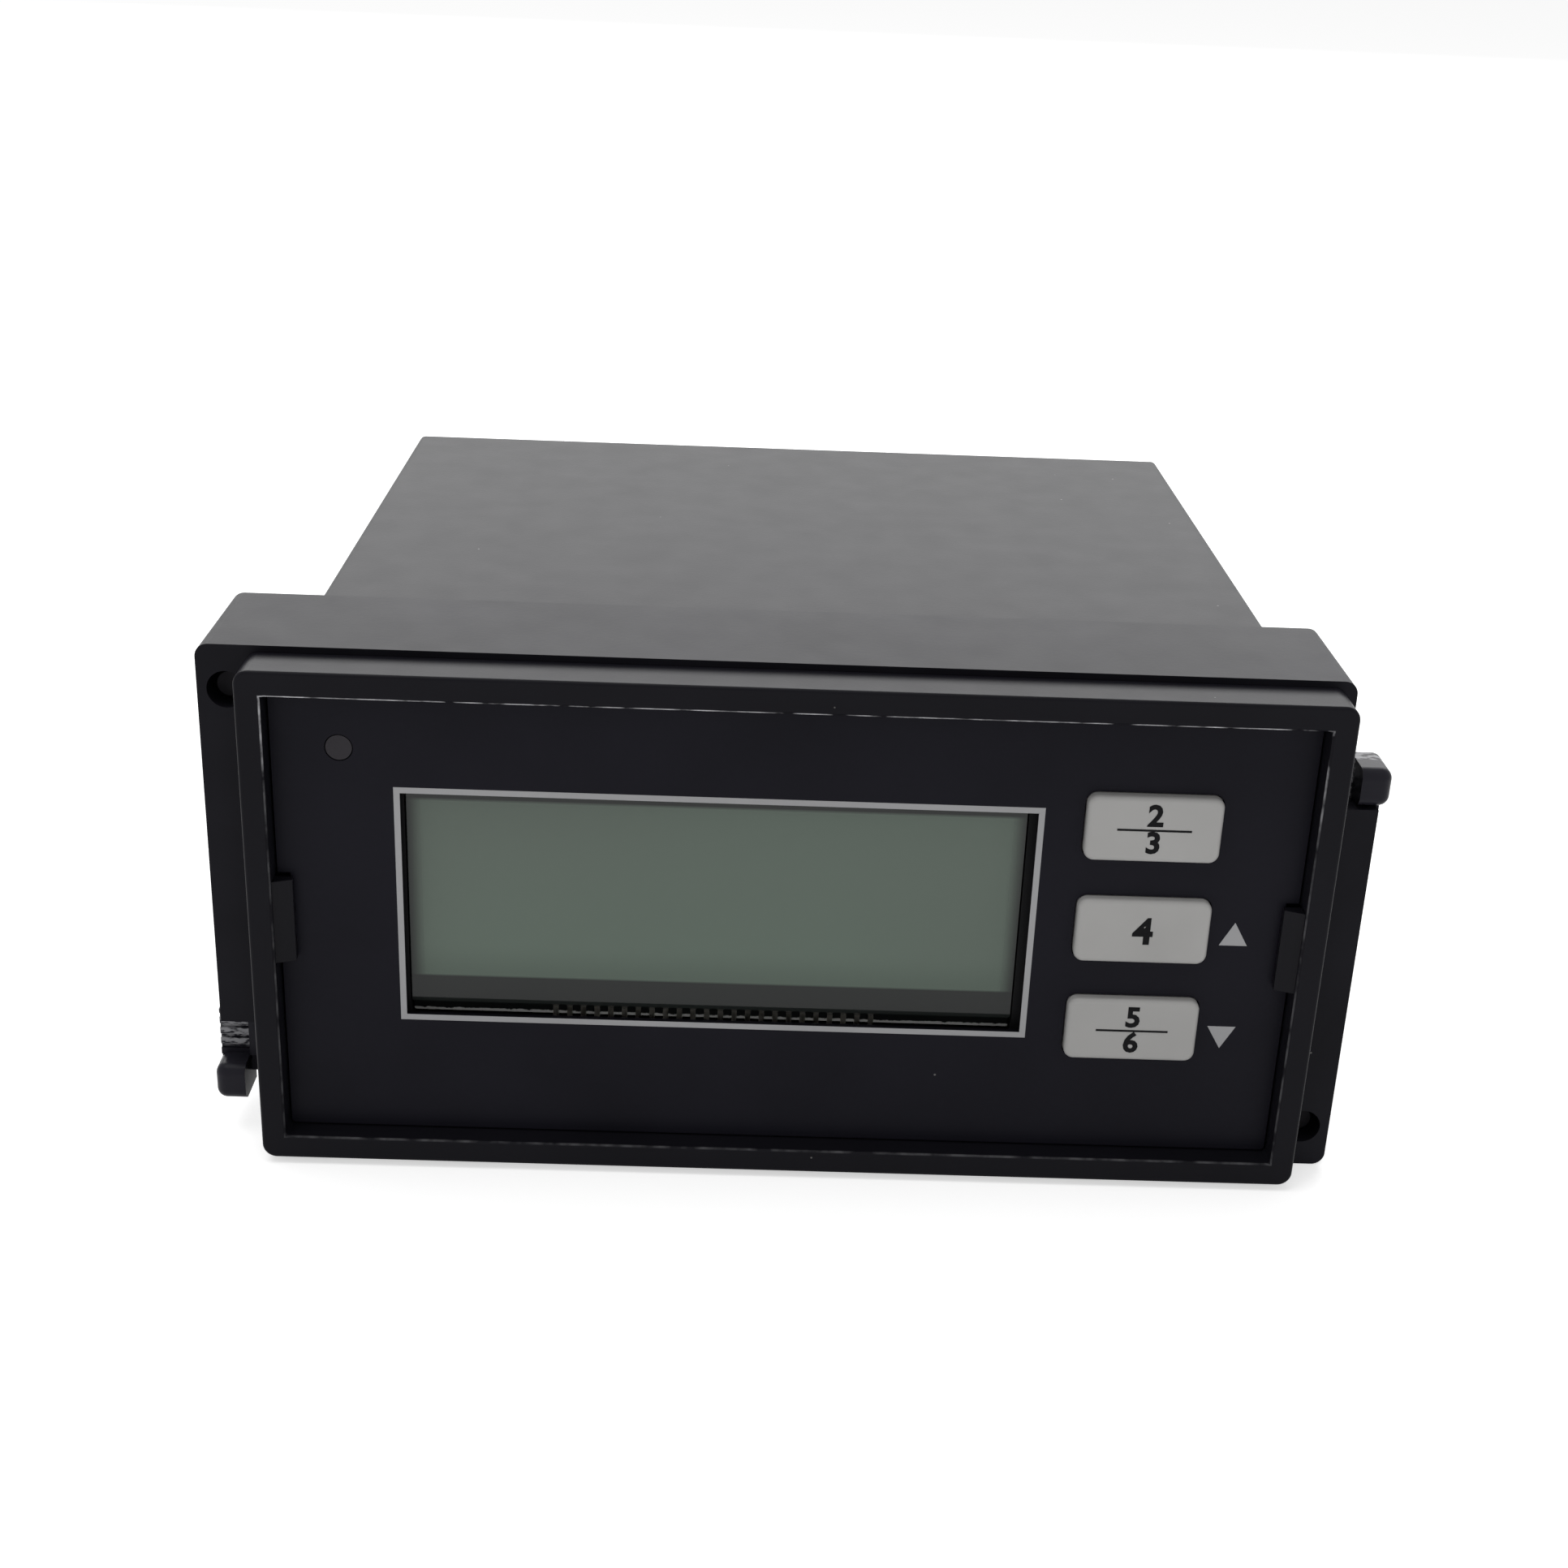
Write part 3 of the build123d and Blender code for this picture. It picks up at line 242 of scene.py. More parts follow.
class StageSettings(bpy.types.PropertyGroup):
    """Floor, lights and camera"""

    floor_tone: bpy.props.FloatVectorProperty(
        name="Floor", description="Base colour of the floor",
        subtype="COLOR", size=3, min=0, max=1, default=(0.9, 0.9, 0.9))
    floor_drop: bpy.props.FloatProperty(
        name="Floor drop", description="How far the floor lies under the lowest edge",
        subtype="DISTANCE", unit="LENGTH", min=0, max=0.001, default=0.04 * MM)
    floor_lift: bpy.props.FloatProperty(
        name="Floor lift",
        description="White added to the floor where it is seen, which leaves its shadow",
        subtype="FACTOR", min=0, max=1, default=0.56)
    rear_light: bpy.props.FloatProperty(
        name="Rear light", description="Power of the wide lamp behind the object, in watts",
        min=0, max=200, default=17.0)
    top_light: bpy.props.FloatProperty(
        name="Top light", description="Power of the lamp over the object, in watts",
        min=0, max=200, default=5.0)
    sky: bpy.props.FloatProperty(
        name="Sky", description="Strength of the light from all round",
        min=0, max=4, default=0.42)


# Helpers for node trees

def new_material(name):
    """Empty node material with its Principled shader linked to the output"""
    material = bpy.data.materials.new(name)
    material.use_nodes = True
    tree = material.node_tree
    tree.nodes.clear()
    output = tree.nodes.new("ShaderNodeOutputMaterial")
    shader = tree.nodes.new("ShaderNodeBsdfPrincipled")
    tree.links.new(shader.outputs["BSDF"], output.inputs["Surface"])
    return material, tree, shader


def coat(tree, shader, colour, roughness):
    """Link a colour and a roughness to a shader"""
    tree.links.new(colour, shader.inputs["Base Color"])
    tree.links.new(roughness, shader.inputs["Roughness"])


def shaded(tone, factor):
    """Tone made darker or lighter"""
    return [c * factor for c in tone]


def coordinates(tree):
    """Object coordinates"""
    return tree.nodes.new("ShaderNodeTexCoord").outputs["Object"]


def along(tree, axis):
    """Object coordinate along one axis"""
    split = tree.nodes.new("ShaderNodeSeparateXYZ")
    tree.links.new(coordinates(tree), split.inputs["Vector"])
    return split.outputs[axis]


def noise(tree, size, detail=2.0, stretch=(1, 1, 1)):
    """Noise over Object coordinates, with features about size across"""
    mapping = tree.nodes.new("ShaderNodeMapping")
    mapping.inputs["Scale"].default_value = stretch
    texture = tree.nodes.new("ShaderNodeTexNoise")
    texture.inputs["Scale"].default_value = 1 / size
    texture.inputs["Detail"].default_value = detail
    tree.links.new(coordinates(tree), mapping.inputs["Vector"])
    tree.links.new(mapping.outputs["Vector"], texture.inputs["Vector"])
    return texture.outputs["Fac"]


def ramp(tree, value, low, high, to_low=0.0, to_high=1.0, smooth=False):
    """Map a value's range to another, clamped"""
    node = tree.nodes.new("ShaderNodeMapRange")
    if smooth:
        node.interpolation_type = "SMOOTHSTEP"
    node.inputs["From Min"].default_value = low
    node.inputs["From Max"].default_value = high
    node.inputs["To Min"].default_value = to_low
    node.inputs["To Max"].default_value = to_high
    tree.links.new(value, node.inputs["Value"])
    return node.outputs["Result"]


def fall(tree, value, low, high, smooth=False):
    """1 up to the low end of a range and 0 from its high end"""
    return ramp(tree, value, low, high, 1.0, 0.0, smooth)


def measure(tree, operation, first, second=0.0):
    """Result of a Math node on a value and a socket or a number"""
    node = tree.nodes.new("ShaderNodeMath")
    node.operation = operation
    tree.links.new(first, node.inputs[0])
    if isinstance(second, bpy.types.NodeSocket):
        tree.links.new(second, node.inputs[1])
    else:
        node.inputs[1].default_value = second
    return node.outputs["Value"]


def multiply(tree, product, *factors):
    """Product of a value and the factors, each a socket or a number"""
    for factor in factors:
        product = measure(tree, "MULTIPLY", product, factor)
    return product


def mix_colours(tree, factor, first, second):
    """Mix two colours, each a socket or three numbers"""
    node = tree.nodes.new("ShaderNodeMix")
    node.data_type = "RGBA"
    tree.links.new(factor, node.inputs["Factor"])
    for socket, colour in ((node.inputs[6], first), (node.inputs[7], second)):
        if isinstance(colour, bpy.types.NodeSocket):
            tree.links.new(colour, socket)
        else:
            socket.default_value = (*colour, 1)
    return node.outputs[2]


def bump(tree, height, depth, shader):
    """Bump the shader's normal with a height from 0 to 1 that stands for depth"""
    node = tree.nodes.new("ShaderNodeBump")
    node.inputs["Strength"].default_value = 1.0
    node.inputs["Distance"].default_value = depth
    tree.links.new(height, node.inputs["Height"])
    tree.links.new(node.outputs["Normal"], shader.inputs["Normal"])


def dust_specks(tree):
    """Small specks, one in some of the cells of a Voronoi pattern"""
    core, rim = 0.02, 0.035
    cells = tree.nodes.new("ShaderNodeTexVoronoi")
    cells.inputs["Scale"].default_value = 1 / DUST_SPACING
    tree.links.new(coordinates(tree), cells.inputs["Vector"])
    spot = fall(tree, cells.outputs["Distance"], core, rim)
    split = tree.nodes.new("ShaderNodeSeparateColor")
    tree.links.new(cells.outputs["Color"], split.inputs["Color"])
    chosen = ramp(tree, split.outputs["Red"], 1 - DUST_SHARE, 1 - DUST_SHARE + 0.01)
    return multiply(tree, spot, chosen)


def moulded_plastic(name, tone, roughness, grain, ior=PLASTIC_IOR, dusty=0.0, mottle=0.08,
                    depth=0.006 * MM):
    """Moulded plastic: fine grain, uneven gloss, cloudy tone, and a little dust"""
    material, tree, shader = new_material(name)
    cloud = noise(tree, CLOUD_SIZE, 3.0)
    colour = mix_colours(tree, ramp(tree, cloud, 0.35, 0.65),
                         shaded(tone, 1 - mottle), shaded(tone, 1 + mottle))
    if dusty:
        colour = mix_colours(tree, multiply(tree, dust_specks(tree), dusty), colour, DUST_TONE)
    wear = noise(tree, WEAR_SIZE, 4.0, (1, 1, 2.5))
    coat(tree, shader, colour, ramp(tree, wear, 0.3, 0.7, roughness - 0.012, roughness + 0.018))
    shader.inputs["IOR"].default_value = ior
    bump(tree, noise(tree, grain, 2.0), depth, shader)
    return material


def metal(name, tone, roughness, grain=PLATING_GRAIN):
    """Plated metal with faint streaks"""
    material, tree, shader = new_material(name)
    cloud = noise(tree, grain * 8, 3.0)
    colour = mix_colours(tree, cloud, shaded(tone, 0.8), tone)
    wear = noise(tree, grain * 3)
    coat(tree, shader, colour, ramp(tree, wear, 0.3, 0.7, roughness - 0.06, roughness + 0.08))
    shader.inputs["Metallic"].default_value = 1.0
    bump(tree, noise(tree, grain, 2.0, (1, 6, 1)), 0.003 * MM, shader)
    return material


def circuit_board(name):
    """Green solder mask with copper tracks showing through as lighter lines"""
    material, tree, shader = new_material(name)
    tracks = tree.nodes.new("ShaderNodeTexBrick")
    tracks.inputs["Scale"].default_value = 1 / TRACK_SPACING
    tracks.inputs["Mortar Size"].default_value = 0.035
    tracks.inputs["Color1"].default_value = (0.018, 0.115, 0.045, 1)
    tracks.inputs["Color2"].default_value = (0.022, 0.135, 0.052, 1)
    tracks.inputs["Mortar"].default_value = (0.05, 0.24, 0.10, 1)
    tree.links.new(coordinates(tree), tracks.inputs["Vector"])
    cloud = ramp(tree, noise(tree, 10 * MM), 0.3, 0.7, 0.0, 0.4)
    colour = mix_colours(tree, cloud, tracks.outputs["Color"], (0.012, 0.09, 0.035))
    coat(tree, shader, colour, ramp(tree, noise(tree, 2 * MM), 0.3, 0.7, 0.28, 0.42))
    bump(tree, tracks.outputs["Fac"], 0.03 * MM, shader)
    return material


def layered_sheets(name):
    """Stacked steel sheets of a transformer core"""
    material, tree, shader = new_material(name)
    layers = tree.nodes.new("ShaderNodeTexWave")
    layers.bands_direction = "Y"
    layers.inputs["Scale"].default_value = 1 / CORE_SHEETS
    layers.inputs["Distortion"].default_value = 0.4
    tree.links.new(coordinates(tree), layers.inputs["Vector"])
    band = layers.outputs["Fac"]
    colour = mix_colours(tree, band, (0.10, 0.10, 0.105), (0.24, 0.24, 0.25))
    coat(tree, shader, colour, ramp(tree, band, 0, 1, 0.35, 0.55))
    shader.inputs["Metallic"].default_value = 0.8
    bump(tree, band, 0.03 * MM, shader)
    return material


def overlay(material, mask, tone):
    """Lay a tone over a material's colour where the mask is 1"""
    tree = material.node_tree
    shader = next(node for node in tree.nodes if node.type == "BSDF_PRINCIPLED")
    before = shader.inputs["Base Color"].links[0].from_socket
    tree.links.new(mix_colours(tree, mask, before, tone), shader.inputs["Base Color"])


def painted_edge_highlight(material):
    """Painted highlight: a bright, broken line along the bevel round the recess, strongest at the
    top
    """
    tree = material.node_tree
    sideways = measure(tree, "ABSOLUTE", along(tree, 0))
    upwards = measure(tree, "ABSOLUTE", along(tree, 2))
    outside = measure(tree, "MAXIMUM",
                      measure(tree, "SUBTRACT", sideways, RECESS_HALF_WIDTH),
                      measure(tree, "SUBTRACT", upwards, RECESS_HALF_HEIGHT))
    line = multiply(tree,
                    ramp(tree, outside, -HIGHLIGHT_RIM / 3, 0.0),
                    fall(tree, outside, HIGHLIGHT_WIDTH, HIGHLIGHT_WIDTH + HIGHLIGHT_RIM),
                    fall(tree, along(tree, 1), HIGHLIGHT_BACK_TO, HIGHLIGHT_BACK_TO + HIGHLIGHT_WIDTH / 2))
    broken = ramp(tree, noise(tree, HIGHLIGHT_BREAKS, 3.0), 0.4, 0.62)
    # The painted highlight is strongest along the upper edge, where the light from above catches it
    upper = ramp(tree, along(tree, 2), RECESS_HALF_HEIGHT / 2, RECESS_HALF_HEIGHT, 0.1, 1.0)
    overlay(material, multiply(tree, line, broken, upper), HIGHLIGHT_TONE)


def stem_scratches_and_sheen(material):
    """Pale scratches on the stems of the slide locks, behind their heads, lightened as a painted
    sheen
    """
    tree = material.node_tree
    level = measure(tree, "ABSOLUTE", along(tree, 2))
    pattern = noise(tree, SCRATCH_SIZE, 4.0, (0.5, 1, 1.6))
    mask = multiply(tree,
                    ramp(tree, along(tree, 1), LOCK_HEAD_REAR, LOCK_HEAD_REAR + 0.1 * MM),
                    ramp(tree, level, STEM_INNER_LEVEL, STEM_INNER_LEVEL + 0.3 * MM),
                    fall(tree, level, STEM_OUTER_LEVEL - 0.6 * MM, STEM_OUTER_LEVEL),
                    ramp(tree, pattern, 0.42, 0.56, 0.0, 0.8))
    overlay(material, mask, SCRATCH_AND_SHEEN_TONE)


def seen_directly(tree):
    """1 where a ray comes from the camera, or is a reflection or a ray through glass"""
    path = tree.nodes.new("ShaderNodeLightPath")
    seen = measure(tree, "MAXIMUM", path.outputs["Is Camera Ray"], path.outputs["Is Glossy Ray"])
    return measure(tree, "MAXIMUM", seen, path.outputs["Is Transmission Ray"])


def dress(material, *nodes):
    """Give CAD nodes a material"""
    for name in nodes:
        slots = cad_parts[name].data.materials
        slots.clear()
        slots.append(material)


def three(name):
    """Names of the three nodes of one kind, one for each key"""
    return [name + "_" + key for key in KEY_NUMBERS]


# Helpers for pieces

def scene_object(name, data):
    """Add an object to the scene"""
    thing = bpy.data.objects.new(name, data)
    bpy.context.scene.collection.objects.link(thing)
    return thing


def piece(name, mesh, material, body):
    """Add a finished mesh to the scene and let it ride on a body"""
    thing = scene_object(name, mesh)
    mesh.materials.clear()
    mesh.materials.append(material)
    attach(thing, body)
    return thing


def evaluated_mesh(holder):
    """Mesh of an object's curve, text or modifiers. The object is removed"""
    bpy.context.view_layer.update()
    graph = bpy.context.evaluated_depsgraph_get()
    mesh = bpy.data.meshes.new_from_object(holder.evaluated_get(graph))
    bpy.data.objects.remove(holder)
    return mesh


def turned(place, degrees):
    """Matrix that turns about X and then moves to a place"""
    return Matrix.Translation(place) @ Matrix.Rotation(math.radians(degrees), 4, "X")


def write_mesh(shape, mesh):
    """Turn a shape's faces outwards, write it into a mesh and free it"""
    bmesh.ops.recalc_face_normals(shape, faces=shape.faces)
    shape.to_mesh(mesh)
    shape.free()
    return mesh


def middle(name):
    """Middle of a CAD node as X and Z"""
    low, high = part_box(name)
    return (low.x + high.x) / 2, (low.z + high.z) / 2


def join_loops(shape, first, second):
    """Band of faces between two loops of as many corners"""
    count = len(first)
    for i in range(count):
        j = (i + 1) % count
        shape.faces.new((first[i], first[j], second[j], second[i]))


def plates(name, outlines, front_y, depth):
    """Flat plates that stand on the plane front_y and face the viewer, each with a hole or None"""
    shape = bmesh.new()
    for outline, hole in outlines:
        rings = [outline, hole] if hole else [outline]
        back, front = [[[shape.verts.new((x, y, z)) for x, z in ring] for ring in rings]
                       for y in (front_y, front_y - depth)]
        for corners in (back, front):
            if hole:
                join_loops(shape, *corners)
            else:
                shape.faces.new(corners[0])
        for lower, upper in zip(back, front):
            join_loops(shape, lower, upper)
    return write_mesh(shape, bpy.data.meshes.new(name))


def rectangle(left, right, low, high):
    """Corners of an upright rectangle as X and Z"""
    return [(left, low), (right, low), (right, high), (left, high)]


def rounded(centre, half_width, half_height, radius, steps=6):
    """Corners of an upright rectangle with round corners, as X and Z"""
    points = []
    for turn, (side, level) in enumerate(((1, 1), (-1, 1), (-1, -1), (1, -1))):
        for step in range(steps + 1):
            angle = math.radians(90 * turn + 90 * step / steps)
            points.append((
                centre[0] + side * (half_width - radius) + radius * math.cos(angle),
                centre[1] + level * (half_height - radius) + radius * math.sin(angle)))
    return points


def sheet_mesh(name, outlines, low_y, high_y):
    """Flat sheet between two levels of Y: the first outline is its edge, the others are openings"""
    drawing = bpy.data.curves.new(name, "CURVE")
    drawing.dimensions = "2D"
    drawing.fill_mode = "BOTH"
    drawing.extrude = (high_y - low_y) / 2
    for outline in outlines:
        line = drawing.splines.new("POLY")
        line.points.add(len(outline) - 1)
        for point, (x, z) in zip(line.points, outline):
            point.co = (x, z, 0, 1)
        line.use_cyclic_u = True
    mesh = evaluated_mesh(scene_object(name, drawing))
    bpy.data.curves.remove(drawing)
    mesh.transform(turned((0, (low_y + high_y) / 2, 0), 90))
    shape = bmesh.new()
    shape.from_mesh(mesh)
    bmesh.ops.remove_doubles(shape, verts=shape.verts, dist=WELD_DISTANCE)
    return write_mesh(shape, mesh)


def number_mesh(name, numbers, height, ink, centre, front_y):
    """One number on a key, or two with a bar between them"""
    shape = bmesh.new()
    x, z = centre
    spacing = height * LINE_SPACING
    levels = [0.0] if len(numbers) == 1 else [spacing / 2, -spacing / 2]
    for number, level in zip(numbers, levels):
        letters = bpy.data.curves.new(name + "_letters", "FONT")
        letters.body = number
        letters.size = height * FONT_SIZE
        letters.offset = height * FONT_WEIGHT
        letters.extrude = ink / 2
        letters.align_x = "CENTER"
        letters.align_y = "CENTER"
        letters.resolution_u = 3
        flat = evaluated_mesh(scene_object(name + "_letters", letters))
        flat.transform(turned((x, front_y - ink / 2, z + level), 90))
        shape.from_mesh(flat)
        bpy.data.curves.remove(letters)
        bpy.data.meshes.remove(flat)
    bmesh.ops.remove_doubles(shape, verts=shape.verts, dist=WELD_DISTANCE)
    if len(numbers) == 2:
        outline = rectangle(x - BAR_LENGTH / 2, x + BAR_LENGTH / 2,
                            z - BAR_WIDTH / 2, z + BAR_WIDTH / 2)
        line = plates(name + "_bar", [(outline, None)], front_y, ink)
        shape.from_mesh(line)
        bpy.data.meshes.remove(line)
    return write_mesh(shape, bpy.data.meshes.new(name))


# Operators, one for each group of pieces

class MATERIAL_OT_controller_housing(bpy.types.Operator):
    """Finish the case, the ring, its locks, the fascia, the catches, the film and the rear cover"""

    bl_idname = "material.controller_housing"
    bl_label = "Finish housing"

    def execute(self, context):
        look = context.scene.controller_plastic
        tone, rough, grain, dust = look.case_tone, look.case_roughness, look.grain_size, look.dust
        case = moulded_plastic("case_plastic", tone, rough, grain, dusty=dust)
        # Paint a highlight along the edge of the recess
        painted_edge_highlight(case)
        dress(case, "case", "rear_cover", "fascia")
        dress(moulded_plastic("ring_plastic", shaded(tone, 1.2), rough + 0.03, grain * 1.3,
                              dusty=dust, mottle=0.2), "mount_ring")
        lock = moulded_plastic("lock_plastic", shaded(tone, 2.3), rough - 0.06, grain, ior=1.16,
                               dusty=dust)
        # Pale scratches and a painted sheen on the lock stems
        stem_scratches_and_sheen(lock)
        dress(lock, "slide_lock_left", "slide_lock_right")
        dress(moulded_plastic("film_print", look.film_tone, 0.42, grain * 0.7,
                              dusty=dust, mottle=0.1), "film")
        dress(moulded_plastic("catch_plastic", shaded(tone, 0.9), 0.3, grain, ior=1.18),
              "catch_left", "catch_right")
        return {"FINISHED"}


class MATERIAL_OT_controller_keys(bpy.types.Operator):
    """Finish the key caps, their switches and the alarm lamp"""

    bl_idname = "material.controller_keys"
    bl_label = "Finish keys"

    def execute(self, context):
        look = context.scene.controller_plastic
        grain = look.grain_size
        dress(moulded_plastic("key_plastic", look.key_tone, 0.34, grain, ior=1.4,
                              mottle=0.05, depth=0.003 * MM), *three("key"))
        dress(moulded_plastic("plunger_plastic", (0.16, 0.07, 0.03), 0.4, grain),
              *three("key_plunger"))
        dress(moulded_plastic("switch_plastic", (0.02, 0.02, 0.02), 0.5, grain),
              *three("key_switch"))
        dress(moulded_plastic("light_pipe", (0.030, 0.027, 0.032), 0.45, grain, ior=1.25),
              "alarm_light_pipe")
        dress(moulded_plastic("lamp_lens", (0.45, 0.03, 0.02), 0.15, grain * 3, ior=1.5),
              "alarm_lamp")
        return {"FINISHED"}


class MATERIAL_OT_controller_display(bpy.types.Operator):
    """Finish the glass, the backlight, the holder and the pins of the display"""

    bl_idname = "material.controller_display"
    bl_label = "Finish display"

    def execute(self, context):
        grain = context.scene.controller_plastic.grain_size
        dress(self.glass(context.scene.controller_display), "display_glass_front")
        dress(self.ledge(), "display_glass_rear")
        dress(moulded_plastic("backlight_plastic", (0.62, 0.62, 0.58), 0.4, grain,
                              ior=GLOSSY_IOR, mottle=0.05), "display_backlight")
        dress(moulded_plastic("holder_plastic", (0.012, 0.012, 0.013), 0.5, grain),
              "display_holder")
        dress(metal("tinned_pins", (0.62, 0.60, 0.54), 0.35, 0.3 * MM),
              "display_pins", "header_pins_lower", "header_pins_upper")
        return {"FINISHED"}

    def glass(self, look):
        """Front glass: polarising film with blurred sides, in a frame of bare glass"""
        material, tree, shader = new_material("display_glass")
        blur, lower_edge, upper_edge, shade_height = 0.9 * MM, 0.1 * MM, 0.15 * MM, 3.5 * MM
        across, up = along(tree, 0), along(tree, 2)
        inside = multiply(
            tree,
            ramp(tree, across, look.left - blur, look.left + blur, smooth=True),
            fall(tree, across, look.right - blur, look.right + blur, smooth=True),
            ramp(tree, up, look.low - lower_edge, look.low + lower_edge),
            fall(tree, up, look.high - upper_edge, look.high + upper_edge))
        plain = Vector(look.polariser_tone)
        warm = plain * 0.86 + Vector((0.008, 0.0, 0.004))
        cloud = ramp(tree, noise(tree, GLASS_CLOUD_SIZE, 1.0), 0.35, 0.6)
        tone = mix_colours(tree, cloud, warm, plain)
        shade = ramp(tree, up, look.low, look.low + shade_height, 0.75, 0.0, smooth=True)
        tone = mix_colours(tree, shade, tone, plain * 0.72)
        colour = mix_colours(tree, inside, look.bare_glass_tone, tone)
        coat(tree, shader, colour, ramp(tree, inside, 0, 1, 0.06, 0.3))
        shader.inputs["IOR"].default_value = GLOSSY_IOR
        shader.inputs["Specular IOR Level"].default_value = 0.35
        bump(tree, noise(tree, 0.3 * MM), 0.0008 * MM, shader)
        return material

    def ledge(self):
        """Rear glass, with bright chips along its lower edge"""
        material, tree, shader = new_material("display_ledge")
        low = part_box("display_glass_rear")[0].z
        jagged = noise(tree, CHIP_SIZE, 3.0)
        chips = multiply(tree, fall(tree, along(tree, 2), low, low + CHIP_HEIGHT), jagged)
        colour = mix_colours(tree, ramp(tree, chips, 0.14, 0.22),
                             (0.018, 0.02, 0.02), (0.85, 0.86, 0.84))
        coat(tree, shader, colour, ramp(tree, chips, 0.2, 0.5, 0.08, 0.5))
        bump(tree, jagged, 0.02 * MM, shader)
        return material


class MATERIAL_OT_controller_inside(bpy.types.Operator):
    """Finish the boards and the parts on them"""

    bl_idname = "material.controller_inside"
    bl_label = "Finish inner parts"

    def execute(self, context):
        grain = context.scene.controller_plastic.grain_size
        dress(circuit_board("board_mask"), "display_board", "power_board", "measuring_board")
        dress(moulded_plastic("link_plastic", (0.02, 0.02, 0.02), 0.45, grain),
              "board_link_lower", "board_link_upper", "processor", "buzzer")
        dress(moulded_plastic("relay_shell", (0.03, 0.09, 0.27), 0.3, grain, ior=GLOSSY_IOR,
                              mottle=0.1), "relay_left", "relay_right")
        dress(moulded_plastic("capacitor_sleeve", (0.02, 0.03, 0.09), 0.22, grain * 3, ior=1.5,
                              mottle=0.1), "bulk_capacitor")
        dress(moulded_plastic("coil_tape", (0.48, 0.33, 0.05), 0.35, grain * 2, ior=GLOSSY_IOR,
                              depth=0.02 * MM), "transformer_coil")
        dress(layered_sheets("core_sheets"), "transformer_core")
        return {"FINISHED"}


class MATERIAL_OT_controller_terminals(bpy.types.Operator):
    """Finish the terminal headers, the plugs and all screws"""

    bl_idname = "material.controller_terminals"
    bl_label = "Finish terminals and screws"

    def execute(self, context):
        look = context.scene.controller_plastic
        dress(moulded_plastic("terminal_plastic", look.terminal_tone, 0.4, look.grain_size,
                              ior=GLOSSY_IOR),
              "terminal_plug_lower", "terminal_plug_upper",
              "terminal_header_lower", "terminal_header_upper")
        dress(metal("zinc_plate", (0.52, 0.52, 0.50), 0.36),
              "cover_screws", "display_screws", "plug_screws_lower", "plug_screws_upper")
        # Black-oxide steel, whose dark tone also stands in for painted shade down the screw holes
        dress(metal("blackened_steel_and_hole_shade", (0.012, 0.0115, 0.013), 0.55),
              "clamp_screw_left", "clamp_screw_right")
        return {"FINISHED"}


class MESH_OT_controller_film_sheet(bpy.types.Operator):
    """Cut the film's sheet, with openings whose corners follow the keys"""

    bl_idname = "mesh.controller_film_sheet"
    bl_label = "Cut film"

    def execute(self, context):
        gap = context.scene.controller_print.key_gap
        outlines = [self.edge(), rectangle(*WINDOW)]
        for key in three("key"):
            low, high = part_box(key)
            inset = KEY_FLANGE - gap
            outlines.append(rounded(middle(key), (high.x - low.x) / 2 - inset,
                                    (high.z - low.z) / 2 - inset, KEY_CORNER + gap))
        outlines.append(rounded(middle("alarm_light_pipe"), LIGHT_PIPE_RADIUS,
                                LIGHT_PIPE_RADIUS, LIGHT_PIPE_RADIUS))
        mesh = sheet_mesh("film_sheet", outlines, film_low.y, film_high.y)
        sheet = piece("film_sheet", mesh, bpy.data.materials["film_print"], "case")
        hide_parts("film")
        return {"FINISHED"}

    def edge(self):
        """Outer edge of the film, with a notch for the catch on either side"""
        side = film_high.x
        notch_x, notch_z = side - NOTCH_DEPTH, NOTCH_HALF_HEIGHT
        corners = rounded((0, 0), side, film_high.z, FILM_CORNER, steps=3)
        half = len(corners) // 2
        right = [(side, -notch_z), (notch_x, -notch_z), (notch_x, notch_z), (side, notch_z)]
        left = [(-x, -z) for x, z in right]
        return right + corners[:half] + left + corners[half:]


class MESH_OT_controller_film_print(bpy.types.Operator):
    """Print the line round the display and the two arrows on the film"""

    bl_idname = "mesh.controller_film_print"
    bl_label = "Print film"

    def execute(self, context):
        look = context.scene.controller_print
        ink = moulded_plastic("light_ink", look.ink_tone, 0.5, INK_GRAIN, ior=1.35, mottle=0.06)
        left, right, low, high = WINDOW
        width = look.line_width
        outer = rectangle(left - width, right + width, low - width, high + width)
        outlines = [(outer, rectangle(*WINDOW)), (ARROW_UP, None), (ARROW_DOWN, None)]
        mesh = plates("film_print_lines", outlines, film_low.y, look.ink_depth)
        piece("film_print_lines", mesh, ink, "case")
        return {"FINISHED"}


class MESH_OT_controller_key_print(bpy.types.Operator):
    """Print plain numbers on the keys"""

    bl_idname = "mesh.controller_key_print"
    bl_label = "Print keys"

    def execute(self, context):
        look = context.scene.controller_print
        ink = moulded_plastic("dark_ink", look.key_ink_tone, 0.45, INK_GRAIN, mottle=0.1)
        for key, numbers in KEY_NUMBERS.items():
            scale = SINGLE_NUMBER_SCALE if len(numbers) == 1 else 1.0
            mesh = number_mesh("key_print_" + key, numbers, look.number_height * scale,
                               look.ink_depth, middle("key_" + key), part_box("key_" + key)[0].y)
            piece("key_print_" + key, mesh, ink, "key_" + key)
        return {"FINISHED"}


